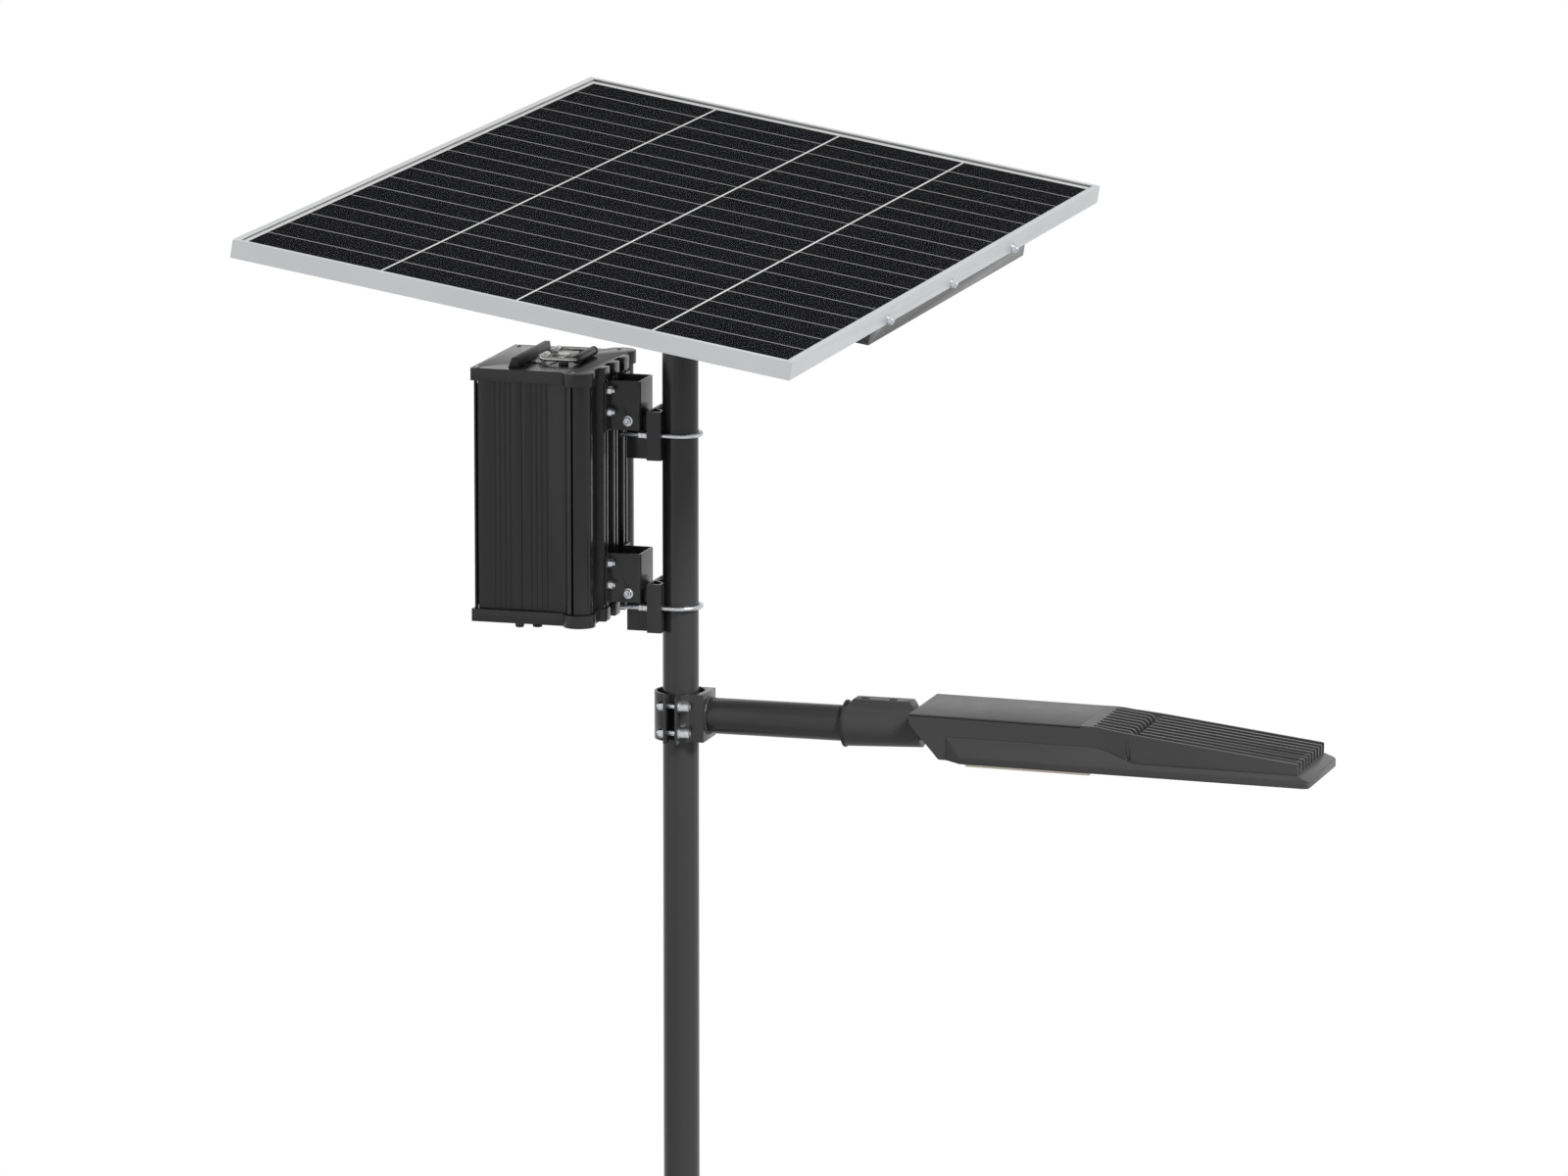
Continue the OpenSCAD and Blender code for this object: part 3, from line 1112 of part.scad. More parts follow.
// A side rail on the +X side: web, inward foot, short top lip and the shelves under the beams.
shelf_h = 13;            // depth of the rail's top edge below the glass side
rail_base = panel_top - shelf_h - rail_h;
module side_rail() difference() {
  union() {
    rotate([90, 0, 0]) linear_extrude(rail_len, center = true) polygon([
      [web_x, panel_top - shelf_h], [web_x, rail_base], [web_x - rail_foot, rail_base],
      [web_x - rail_foot, rail_base + web_t], [web_x - web_t, rail_base + web_t],
      [web_x - web_t, panel_top - shelf_h]]);
    for (s = [-1, 1])
      translate([web_x - web_t - 16, s * beam_y - beam_side / 2, beam_top - beam_side - web_t])
        cube([17, beam_side, web_t - seat]);
  }
  for (k = [-1, 0, 1]) translate([web_x - web_t - eps, k * rail_bolt_pitch, panel_top - rail_bolt_h]) to_x()
    cylinder(r = rail_bolt_d / 2 + bolt_fit, h = web_t + 2 * eps);
}

rail_bolt_d = 8;
module side_rail_right() color(black) panel_frame() side_rail();
module side_rail_left() color(black) panel_frame() mirror([1, 0, 0]) side_rail();

module rail_bolts() color(zinc) panel_frame() {
  for (m = [0, 1], k = [-1, 0, 1]) mirror([m, 0, 0])
    translate([panel_w / 2, k * rail_bolt_pitch, panel_top - rail_bolt_h]) {
      translate([-frame_wall - seat - web_t, 0, 0]) to_minus_x()
        hex_bolt(rail_bolt_d, frame_wall + seat + web_t + washer_t(rail_bolt_d) + nut_h(rail_bolt_d) + 2);
      to_x() nut_and_washer(rail_bolt_d);
    }
  // bolts from under the saddle plate into the hollow beams, with nuts inside
  at_beam_bolts() {
    mirror([0, 0, 1]) hex_bolt(rail_bolt_d, saddle_t + beam_wall + nut_h(rail_bolt_d) + 3);
    translate([0, 0, saddle_t + beam_wall]) difference() {
      hex_prism(hex_af(rail_bolt_d), nut_h(rail_bolt_d));
      translate([0, 0, -eps]) cylinder(r = rail_bolt_d / 2 + seat, h = nut_h(rail_bolt_d) + 2 * eps);
    }
  }
}

// A frame bar along Y, its outer face at x = 0, its glass side at z = 0, mitred at both ends.
glass_z = 1.8;           // depth of the glass below the frame's top
groove_z = 6.2;          // depth of the shelf that the glass rests on
shelf_w = 16;
module frame_bar(length, foot) intersection() {
  rotate([90, 0, 0]) linear_extrude(length, center = true) union() {
    translate([-frame_wall, -frame_h]) square([frame_wall, frame_h]);
    translate([-frame_lip, -glass_z + 0.1]) square([frame_lip, glass_z - 0.1]);
    translate([-shelf_w, -groove_z - 1.6]) square([shelf_w, 1.6]);
    if (foot > 0) translate([-foot, -frame_h]) square([foot, frame_wall]);
  }
  translate([0, 0, -frame_h - eps]) linear_extrude(frame_h + 2 * eps) polygon([
    [eps, -length / 2 - eps], [eps, length / 2 + eps], [-60, length / 2 - 60], [-60, -length / 2 + 60]]);
}

module bar_holes() for (k = [-1, 0, 1])
  translate([-frame_wall - eps, k * rail_bolt_pitch, -rail_bolt_h]) to_x()
    cylinder(r = rail_bolt_d / 2 + bolt_fit, h = frame_wall + 2 * eps);

module frame_side() difference() {
  frame_bar(panel_l, 0);
  bar_holes();
}

module frame_right() color(alloy) panel_frame() translate([panel_w / 2, 0, panel_top]) frame_side();
module frame_left() color(alloy) panel_frame() mirror([1, 0, 0])
  translate([panel_w / 2, 0, panel_top]) frame_side();
module frame_end() translate([0, panel_l / 2, panel_top]) rotate(90) frame_bar(panel_w, 24);
module frame_front() color(alloy) panel_frame() mirror([0, 1, 0]) frame_end();
module frame_back() color(alloy) panel_frame() frame_end();

// Layers of the laminate: glass, cells, back sheet.
lam_w = panel_w - 2 * frame_wall - 3;
lam_l = panel_l - 2 * frame_wall - 3;
cell_t = 0.4;
sheet_back_t = 0.5;

module layer(depth, thick) translate([-lam_w / 2, -lam_l / 2, panel_top - depth - thick])
  cube([lam_w, lam_l, thick]);

module panel_glass() color([0.1, 0.11, 0.13, 0.6]) panel_frame() layer(glass_z, glass_t);
module back_sheet() color("#f4f4f2") panel_frame() layer(glass_z + glass_t + cell_t, sheet_back_t);

cell_margin_x = 15;
cell_margin_y = 28;
cell_gap_x = 4;
cell_gap_y = 1.5;
module cell_strings() color("#1b1c1f") panel_frame() {
  pitch_x = (panel_w - 2 * cell_margin_x + cell_gap_x) / cell_cols;
  pitch_y = (panel_l - 2 * cell_margin_y + cell_gap_y) / cell_rows;
  for (i = [0:cell_cols - 1], j = [0:cell_rows - 1])
    translate([-panel_w / 2 + cell_margin_x + i * pitch_x, -panel_l / 2 + cell_margin_y + j * pitch_y,
      panel_top - glass_z - glass_t - cell_t])
      cube([pitch_x - cell_gap_x, pitch_y - cell_gap_y, cell_t]);
}

junction_in = 190;       // distance of the junction box from the back end of the frame
module junction_box() color("#1f1f1f") panel_frame()
  translate([0, panel_l / 2 - junction_in, panel_top - glass_z - glass_t - cell_t - sheet_back_t])
  mirror([0, 0, 1]) {
    linear_extrude(16) round_rect(130, 96, 8);
    translate([0, 0, 16]) linear_extrude(4) round_rect(122, 88, 6);
    for (x = [-30, 30]) translate([x, 48, 8]) to_y() cylinder(d = 11, h = 14);
  }

pole_tube();
base_flange();
base_gussets();
arm_clamp_front();
arm_clamp_back();
arm_clamp_screws();
arm_clamp_nuts();
arm_tube();
spigot_sleeve();
spigot_seal();
spigot_screws();
case_body();
case_top_cap();
case_bottom_cap();
case_gaskets();
cap_screws();
handle_plate();
handle_rests();
cable_socket();
battery_cells();
cell_tray();
charge_controller();
case_bracket_upper();
case_bracket_lower();
pole_bracket_upper();
pole_bracket_lower();
u_bolts();
u_bolt_nuts();
t_bolts();
cross_bolts();
pole_sleeve();
sleeve_screws();
tilt_pivot_bolt();
panel_saddle();
cross_beams();
side_rail_left();
side_rail_right();
rail_bolts();
frame_left();
frame_right();
frame_front();
frame_back();
panel_glass();
cell_strings();
back_sheet();
junction_box();
tilt_lock_bolt();
lamp_housing();
lamp_top_cover();
lamp_base();
lamp_lens();
lamp_gasket();
led_board();
led_chips();
led_driver();
lamp_pivot_bolt();
lamp_side_screws();
handle_bail();
handle_grip();
power_button();
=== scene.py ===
"""Solar street lamp: finishes, softened edges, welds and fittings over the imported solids."""
import json
import math

import bpy
from mathutils import Matrix, Vector


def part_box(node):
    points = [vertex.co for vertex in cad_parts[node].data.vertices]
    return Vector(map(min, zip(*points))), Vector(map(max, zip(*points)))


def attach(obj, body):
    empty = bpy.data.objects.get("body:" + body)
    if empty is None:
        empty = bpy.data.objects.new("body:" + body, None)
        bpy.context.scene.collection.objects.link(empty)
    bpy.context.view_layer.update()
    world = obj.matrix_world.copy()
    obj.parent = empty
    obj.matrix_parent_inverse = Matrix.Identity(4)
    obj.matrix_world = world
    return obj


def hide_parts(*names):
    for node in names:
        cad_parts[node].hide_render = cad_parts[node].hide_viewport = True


bl_info = {
    "name": "Solar street lamp",
    "version": (1, 0, 0),
    "blender": (4, 5, 0),
    "location": "3D View > Sidebar > Street lamp",
    "description": "Dresses a solar street lamp: finishes, edges, welds, grip and stage",
    "category": "Object",
}

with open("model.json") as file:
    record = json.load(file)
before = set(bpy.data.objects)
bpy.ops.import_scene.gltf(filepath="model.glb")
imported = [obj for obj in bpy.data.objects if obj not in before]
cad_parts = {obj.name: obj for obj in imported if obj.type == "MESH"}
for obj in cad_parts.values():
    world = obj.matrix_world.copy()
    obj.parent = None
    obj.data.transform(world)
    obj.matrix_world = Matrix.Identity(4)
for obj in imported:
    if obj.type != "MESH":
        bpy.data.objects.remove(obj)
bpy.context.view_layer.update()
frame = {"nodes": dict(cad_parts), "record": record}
BODY_OF = {node: body for body, nodes in frame["record"]["behaviour"]["bodies"].items() for node in nodes}
SLOT_OF = {part["node"]: part["material_slot"] for part in frame["record"]["subparts"]}


CELL_ROWS = 18                      # rows of cells along the panel
ROW_LINE_INNER = 0.0016             # half width of a row's joint, where it is all sheet
ROW_LINE_OUTER = 0.0024             # half width of a row's joint, where it is all cell
ROW_LINE_COLOUR = (0.36, 0.36, 0.355, 1.0)

GRAIN_DEPTH = 0.0004                # height of the grain on a finish
STIPPLE_DEPTH = 0.0002              # height of the stipple on the glass
SHEEN_SCALE = 2.7                   # how much finer the sheen varies than the colour
NOISE_LOW = 0.32                    # the part of the noise that is spread over a patch's range
NOISE_HIGH = 0.68
FLOOR_COLOUR = (0.82, 0.82, 0.82, 1.0)

# The lantern's fins, and the wall in front of their grooves, in the lantern's own frame.
FIN_COUNT = 8
FIN_PITCH = 0.0203
FIN_T = 0.006
FIN_INNER_Y = 0.090
WALL_X = 0.6345
WALL_Z = -0.0028
WALL_CUT_X = 0.011
WALL_CUT_Z = 0.026
LAMP_PITCH = math.radians(0.8)
LAMP_PIVOT = Vector((0.012, 0.0, 0.008))

WELD_DISTANCE = 0.00001             # points nearer than this are merged before the edges are rounded
FLAT_ANGLE = math.radians(0.5)      # faces within this angle are one flat face
TUBE_ANGLE = 45.0                   # on tubes only edges sharper than this, in degrees, are rounded
SMOOTH_ANGLE = math.radians(32.0)   # edges sharper than this stay sharp in the shading

GRIP_SIDES = 40
GRIP_RINGS = (0.004, 0.005, 0.006, 0.008, 0.009, 0.010)   # the collar's rings, from the grip's end
GRIP_GROOVES = GRIP_RINGS[1::3]     # the rings that are drawn in
GRIP_WAIST = 0.88                   # how far they are drawn in
GRIP_REACH = 0.0001                 # points this near a ring belong to it
GRIP_EDGE = 0.0009
GRIP_ANGLE = math.radians(40.0)

BEAD_R = 0.0028                     # radius of a weld bead
BEAD_STEPS = 96                     # rings of points along a bead
BEAD_SIDES = 10
BEAD_RIPPLE = 3                     # every third ring stands out
BEAD_SWELL = (1.012, 1.012, 1.25)
BEAD_ANGLE = math.radians(60.0)

LIGHT_AIM = Vector((0.0, 0.0, 3.0))
KEY_PLACE = (8.0, -5.0, 11.0)
KEY_SIZE = 3.0
FILL_PLACE = (-9.0, -8.0, 5.0)
FILL_SIZE = 8.0
SENSOR_WIDTH = 36.0
CLIP_END = 200.0


# ---------- shared shader groups ----------


def new_group(name, inputs, outputs):
    """An empty shader group with its sockets; returns the group and its two end nodes."""
    group = bpy.data.node_groups.new(name, "ShaderNodeTree")
    for label, kind, default in inputs:
        socket = group.interface.new_socket(name=label, in_out="INPUT", socket_type=kind)
        if default is not None:
            socket.default_value = default
    for label, kind in outputs:
        group.interface.new_socket(name=label, in_out="OUTPUT", socket_type=kind)
    return group, group.nodes.new("NodeGroupInput"), group.nodes.new("NodeGroupOutput")


def patches_group():
    """Soft patches: a value that wanders between Low and High."""
    name = "Soft patches"
    if name in bpy.data.node_groups:
        return bpy.data.node_groups[name]
    group, given, put = new_group(
        name,
        [("Vector", "NodeSocketVector", None), ("Scale", "NodeSocketFloat", 8.0),
         ("Detail", "NodeSocketFloat", 4.0), ("Low", "NodeSocketFloat", 0.0),
         ("High", "NodeSocketFloat", 1.0)],
        [("Value", "NodeSocketFloat")],
    )
    noise = group.nodes.new("ShaderNodeTexNoise")
    spread = group.nodes.new("ShaderNodeMapRange")
    spread.inputs["From Min"].default_value = NOISE_LOW
    spread.inputs["From Max"].default_value = NOISE_HIGH
    link = group.links.new
    link(given.outputs["Vector"], noise.inputs["Vector"])
    link(given.outputs["Scale"], noise.inputs["Scale"])
    link(given.outputs["Detail"], noise.inputs["Detail"])
    link(noise.outputs["Fac"], spread.inputs["Value"])
    link(given.outputs["Low"], spread.inputs["To Min"])
    link(given.outputs["High"], spread.inputs["To Max"])
    link(spread.outputs["Result"], put.inputs["Value"])
    return group


def tint_group():
    """Shades a colour by a value: 1 leaves it, below 1 darkens it and above 1 lightens it."""
    name = "Shade by value"
    if name in bpy.data.node_groups:
        return bpy.data.node_groups[name]
    group, given, put = new_group(
        name,
        [("Color", "NodeSocketColor", (0.5, 0.5, 0.5, 1.0)), ("Value", "NodeSocketFloat", 1.0)],
        [("Color", "NodeSocketColor")],
    )
    grey = group.nodes.new("ShaderNodeCombineColor")
    mix = group.nodes.new("ShaderNodeMix")
    mix.data_type = "RGBA"
    mix.blend_type = "MULTIPLY"
    mix.inputs["Factor"].default_value = 1.0
    link = group.links.new
    for channel in ("Red", "Green", "Blue"):
        link(given.outputs["Value"], grey.inputs[channel])
    link(given.outputs["Color"], mix.inputs["A"])
    link(grey.outputs["Color"], mix.inputs["B"])
    link(mix.outputs["Result"], put.inputs["Color"])
    return group


def place_group(material, group, **values):
    """Places a shared group in a material and sets its named inputs."""
    node = material.node_tree.nodes.new("ShaderNodeGroup")
    node.node_tree = group
    for label, value in values.items():
        node.inputs[label].default_value = value
    return node


# Each finish: colour, metallic, specular level, roughness low and high, patch scale, colour low and
# high, bump scale, bump strength, coat weight.
FINISHES = {
    "black_steel": ((0.030, 0.030, 0.031), 0.0, 0.30, 0.22, 0.26, 9.0, 0.96, 1.04, 900.0, 0.012, 0.0),
    "dark_casting": ((0.046, 0.046, 0.047), 0.0, 0.25, 0.36, 0.40, 12.0, 0.97, 1.03, 1300.0, 0.02, 0.0),
    "black_case": ((0.024, 0.024, 0.025), 0.0, 0.30, 0.22, 0.26, 10.0, 0.96, 1.04, 1200.0, 0.012, 0.0),
    "zinc": ((0.55, 0.56, 0.58), 1.0, 0.5, 0.22, 0.36, 160.0, 0.84, 1.06, 900.0, 0.06, 0.0),
    "black_screws": ((0.020, 0.020, 0.021), 0.0, 0.4, 0.30, 0.42, 90.0, 0.85, 1.15, 900.0, 0.08, 0.0),
    "bare_steel": ((0.62, 0.62, 0.61), 1.0, 0.5, 0.20, 0.32, 70.0, 0.86, 1.06, 600.0, 0.05, 0.0),
    "anodised": ((0.52, 0.53, 0.54), 0.7, 0.5, 0.40, 0.50, 6.0, 0.97, 1.02, 900.0, 0.03, 0.0),
    "rubber": ((0.018, 0.018, 0.018), 0.0, 0.3, 0.50, 0.65, 60.0, 0.85, 1.2, 700.0, 0.12, 0.0),
    "grip_rubber": ((0.012, 0.012, 0.013), 0.0, 0.4, 0.28, 0.42, 80.0, 0.85, 1.2, 800.0, 0.10, 0.0),
    "black_plastic": ((0.014, 0.014, 0.015), 0.0, 0.35, 0.36, 0.48, 60.0, 0.88, 1.15, 1100.0, 0.10, 0.0),
    "tray_plastic": ((0.05, 0.05, 0.055), 0.0, 0.5, 0.45, 0.60, 40.0, 0.9, 1.1, 1000.0, 0.10, 0.0),
    "cell_wrap": ((0.05, 0.16, 0.42), 0.0, 0.5, 0.22, 0.34, 30.0, 0.92, 1.08, 500.0, 0.05, 0.3),
    "circuit_board": ((0.02, 0.12, 0.06), 0.0, 0.5, 0.30, 0.45, 90.0, 0.8, 1.15, 900.0, 0.10, 0.2),
    "white_sheet": ((0.80, 0.80, 0.79), 0.0, 0.3, 0.45, 0.58, 5.0, 0.98, 1.01, 500.0, 0.05, 0.0),
    "lens": ((0.78, 0.74, 0.62), 0.0, 0.4, 0.30, 0.42, 40.0, 0.96, 1.03, 350.0, 0.06, 0.2),
    "white_board": ((0.78, 0.78, 0.76), 0.0, 0.5, 0.35, 0.5, 40.0, 0.95, 1.02, 600.0, 0.05, 0.0),
    "phosphor": ((0.80, 0.60, 0.10), 0.0, 0.5, 0.4, 0.55, 200.0, 0.9, 1.05, 900.0, 0.08, 0.0),
    "silicon": ((0.0075, 0.0078, 0.009), 0.0, 0.0, 0.30, 0.38, 3.0, 0.92, 1.08, 1500.0, 0.01, 0.0),
}


def finish_material(slot):
    """The material of one of the record's slots."""
    name = "Lamp " + slot
    if name in bpy.data.materials:
        return bpy.data.materials[name]
    if slot == "panel_glass":
        return glass_material(name)
    (colour, metallic, specular, rough_low, rough_high, scale, shade_low, shade_high, grain, bump,
     coat) = FINISHES[slot]
    material = bpy.data.materials.new(name)
    material.use_nodes = True
    tree = material.node_tree
    shader = tree.nodes["Principled BSDF"]
    shader.inputs["Metallic"].default_value = metallic
    shader.inputs["Specular IOR Level"].default_value = specular
    shader.inputs["Coat Weight"].default_value = coat
    place = tree.nodes.new("ShaderNodeTexCoord")
    patches = place_group(material, patches_group(), Scale=scale, Low=shade_low, High=shade_high)
    sheen = place_group(material, patches_group(), Scale=scale * SHEEN_SCALE, Low=rough_low, High=rough_high)
    pebble = place_group(material, patches_group(), Scale=grain, Detail=2.0)
    shade = place_group(material, tint_group(), Color=(*colour, 1.0))
    relief = tree.nodes.new("ShaderNodeBump")
    relief.inputs["Strength"].default_value = bump
    relief.inputs["Distance"].default_value = GRAIN_DEPTH
    for node in (patches, sheen, pebble):
        tree.links.new(place.outputs["Object"], node.inputs["Vector"])
    tree.links.new(patches.outputs["Value"], shade.inputs["Value"])
    colour_out = shade.outputs["Color"]
    if slot == "silicon":
        colour_out = row_lines(material, place, colour_out)
    tree.links.new(colour_out, shader.inputs["Base Color"])
    tree.links.new(sheen.outputs["Value"], shader.inputs["Roughness"])
    tree.links.new(pebble.outputs["Value"], relief.inputs["Height"])
    tree.links.new(relief.outputs["Normal"], shader.inputs["Normal"])
    return material


def row_lines(material, place, colour):
    """Paints pale joints between the rows of cells, as if the white sheet showed through."""
    tree = material.node_tree
    low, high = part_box("cell_strings")
    pitch = (high[1] - low[1]) / CELL_ROWS
    split = tree.nodes.new("ShaderNodeSeparateXYZ")
    start = tree.nodes.new("ShaderNodeMath")
    start.operation = "SUBTRACT"
    start.inputs[1].default_value = low[1]
    away = tree.nodes.new("ShaderNodeMath")
    away.operation = "PINGPONG"
    away.inputs[1].default_value = pitch / 2
    line = tree.nodes.new("ShaderNodeMapRange")
    line.inputs["From Min"].default_value = ROW_LINE_INNER
    line.inputs["From Max"].default_value = ROW_LINE_OUTER
    line.inputs["To Min"].default_value = 1.0
    line.inputs["To Max"].default_value = 0.0
    mix = tree.nodes.new("ShaderNodeMix")
    mix.data_type = "RGBA"
    mix.inputs["B"].default_value = ROW_LINE_COLOUR
    tree.links.new(place.outputs["Object"], split.inputs["Vector"])
    tree.links.new(split.outputs["Y"], start.inputs[0])
    tree.links.new(start.outputs["Value"], away.inputs[0])
    tree.links.new(away.outputs["Value"], line.inputs["Value"])
    tree.links.new(line.outputs["Result"], mix.inputs["Factor"])
    tree.links.new(colour, mix.inputs["A"])
    return mix.outputs["Result"]


def glass_material(name):
    """Toughened solar glass: clear, with a faint stipple on its face."""
    material = bpy.data.materials.new(name)
    material.use_nodes = True
    tree = material.node_tree
    shader = tree.nodes["Principled BSDF"]
    shader.inputs["Base Color"].default_value = (0.010, 0.011, 0.013, 1.0)
    shader.inputs["Alpha"].default_value = 0.08
    shader.inputs["Specular IOR Level"].default_value = 0.02
    place = tree.nodes.new("ShaderNodeTexCoord")
    dust = place_group(material, patches_group(), Scale=3.0, Low=0.26, High=0.30)
    stipple = place_group(material, patches_group(), Scale=900.0, Detail=1.0)
    relief = tree.nodes.new("ShaderNodeBump")
    relief.inputs["Strength"].default_value = 0.004
    relief.inputs["Distance"].default_value = STIPPLE_DEPTH
    tree.links.new(place.outputs["Object"], dust.inputs["Vector"])
    tree.links.new(place.outputs["Object"], stipple.inputs["Vector"])
    tree.links.new(dust.outputs["Value"], shader.inputs["Roughness"])
    tree.links.new(stipple.outputs["Value"], relief.inputs["Height"])
    tree.links.new(relief.outputs["Normal"], shader.inputs["Normal"])
    return material


def floor_material():
    """The material of the plain pale floor."""
    material = bpy.data.materials.new("Pale floor")
    material.use_nodes = True
    tree = material.node_tree
    shader = tree.nodes["Principled BSDF"]
    shader.inputs["Roughness"].default_value = 0.8
    shader.inputs["Specular IOR Level"].default_value = 0.1
    place = tree.nodes.new("ShaderNodeTexCoord")
    patches = place_group(material, patches_group(), Scale=0.8, Low=0.97, High=1.0)
    shade = place_group(material, tint_group(), Color=FLOOR_COLOUR)
    tree.links.new(place.outputs["Object"], patches.inputs["Vector"])
    tree.links.new(patches.outputs["Value"], shade.inputs["Value"])
    tree.links.new(shade.outputs["Color"], shader.inputs["Base Color"])
    return material


# ---------- modelling helpers ----------

def clear_selection():
    """Object mode with nothing selected."""
    if bpy.context.object and bpy.context.object.mode != "OBJECT":
        bpy.ops.object.mode_set(mode="OBJECT")
    bpy.ops.object.select_all(action="DESELECT")


def pick(obj):
    """Makes one object the only selected and active one."""
    clear_selection()
    obj.select_set(True)
    bpy.context.view_layer.objects.active = obj


def settle(obj):
    """Puts the object's place into its mesh, so that it ends at the origin."""
    pick(obj)
    bpy.ops.object.transform_apply(location=True, rotation=True, scale=True)


def dress(obj, slot, body, *nodes):
    """Gives a finished piece its material and its body, and hides the nodes it stands for."""
    obj.data.materials.clear()
    obj.data.materials.append(finish_material(slot))
    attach(obj, body)
    if nodes:
        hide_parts(*nodes)


def squeeze(obj, centre, chosen, factors):
    """Scales the points that the test picks, about a centre."""
    pick(obj)
    bpy.ops.object.mode_set(mode="EDIT")
    bpy.ops.mesh.select_all(action="DESELECT")
    bpy.ops.object.mode_set(mode="OBJECT")
    for vertex in obj.data.vertices:
        vertex.select = chosen(vertex.co)
    bpy.ops.object.mode_set(mode="EDIT")
    bpy.ops.mesh.select_mode(type="VERT")
    bpy.ops.transform.resize(value=factors, center_override=centre)
    bpy.ops.object.mode_set(mode="OBJECT")


def open_grooves(piece):
    """Cuts away the wall in front of the lantern's grooves, so that they run out between the fins."""
    joint = next(j for j in frame["record"]["behaviour"]["joints"] if j["name"] == "lantern_tilt")
    turn = Matrix.Rotation(LAMP_PITCH, 4, "Y")
    fins = [(i - (FIN_COUNT - 1) / 2) * FIN_PITCH for i in range(FIN_COUNT)]
    starts = [-FIN_INNER_Y] + [y + FIN_T / 2 for y in fins]
    ends = [y - FIN_T / 2 for y in fins] + [FIN_INNER_Y]
    cutters = []
    for start, end in zip(starts, ends):
        middle = Vector((WALL_X, (start + end) / 2, WALL_Z)) - LAMP_PIVOT
        clear_selection()
        bpy.ops.mesh.primitive_cube_add(
            size=1.0, location=Vector(joint["pos_m"]) + turn @ middle, rotation=(0.0, LAMP_PITCH, 0.0),
            scale=(WALL_CUT_X, end - start, WALL_CUT_Z))
        settle(bpy.context.object)
        cutters.append(bpy.context.object)
    clear_selection()
    for cutter in cutters:
        cutter.select_set(True)
    bpy.context.view_layer.objects.active = cutters[0]
    bpy.ops.object.join()
    pick(piece)
    cut = piece.modifiers.new("Grooves", "BOOLEAN")
    cut.operation = "DIFFERENCE"
    cut.solver = "EXACT"
    cut.object = cutters[0]
    bpy.ops.object.modifier_apply(modifier=cut.name)
    pick(cutters[0])
    bpy.ops.object.delete()
    pick(piece)


def soften(node, width, segments=2, angle=30.0, carve=None):
    """A copy of a solid, carved if asked, with its sharp edges rounded unless the width is 0."""
    source = frame["nodes"][node]
    piece = bpy.data.objects.new("Soft_" + node, source.data.copy())
    bpy.context.scene.collection.objects.link(piece)
    pick(piece)
    bpy.ops.object.mode_set(mode="EDIT")
    bpy.ops.mesh.select_all(action="SELECT")
    bpy.ops.mesh.remove_doubles(threshold=WELD_DISTANCE)
    bpy.ops.mesh.dissolve_limited(angle_limit=FLAT_ANGLE)
    bpy.ops.object.mode_set(mode="OBJECT")
    if carve:
        carve(piece)
    if width > 0.0:
        bevel = piece.modifiers.new("Edge", "BEVEL")
        bevel.width = width
        bevel.segments = segments
        bevel.limit_method = "ANGLE"
        bevel.angle_limit = math.radians(angle)
        bpy.ops.object.modifier_apply(modifier=bevel.name)
    bpy.ops.object.shade_smooth_by_angle(angle=SMOOTH_ANGLE)
    dress(piece, SLOT_OF[node], BODY_OF[node], node)
    return piece


# ---------- settings ----------

class LampViewSettings(bpy.types.PropertyGroup):
    """Where the scene is looked at from."""
    focal_length: bpy.props.FloatProperty(
        name="Focal length", description="Focal length of the camera", default=246.04, min=20.0,
        unit="CAMERA")
    eye: bpy.props.FloatVectorProperty(
        name="Eye", description="Place of the camera", default=(5.0267, -16.7258, 6.2908), subtype="XYZ",
        unit="LENGTH")
    aim: bpy.props.FloatVectorProperty(
        name="Aim", description="Direction in which the camera looks", default=(-0.27353, 0.94363, -0.18640),
        subtype="DIRECTION")


class LampEdgeSettings(bpy.types.PropertyGroup):
    """How round the edges of each kind of piece are."""
    sheet_edge: bpy.props.FloatProperty(
        name="Sheet edges", description="Rounding of cut and folded steel", default=0.0006, min=0.0,
        unit="LENGTH")
    cast_edge: bpy.props.FloatProperty(
        name="Cast edges", description="Rounding of the lantern's castings", default=0.0012, min=0.0,
        unit="LENGTH")
    drawn_edge: bpy.props.FloatProperty(
        name="Drawn edges", description="Rounding of extruded aluminium", default=0.0005, min=0.0,
        unit="LENGTH")
    bolt_edge: bpy.props.FloatProperty(
        name="Bolt edges", description="Rounding of bolts and nuts", default=0.0004, min=0.0, unit="LENGTH")


class LampStageSettings(bpy.types.PropertyGroup):
    """The floor and the light."""
    floor_side: bpy.props.FloatProperty(
        name="Floor side", description="Side of the square floor", default=8.0, min=4.0, unit="LENGTH")
    key_power: bpy.props.FloatProperty(
        name="Key light", description="Power of the large soft light", default=1900.0, min=0.0, unit="POWER")
    fill_power: bpy.props.FloatProperty(
        name="Fill light", description="Power of the soft light from the left", default=80.0, min=0.0,
        unit="POWER")
    sky_strength: bpy.props.FloatProperty(
        name="Sky", description="Strength of the light from all round", default=0.25, min=0.0)


# ---------- operators ----------

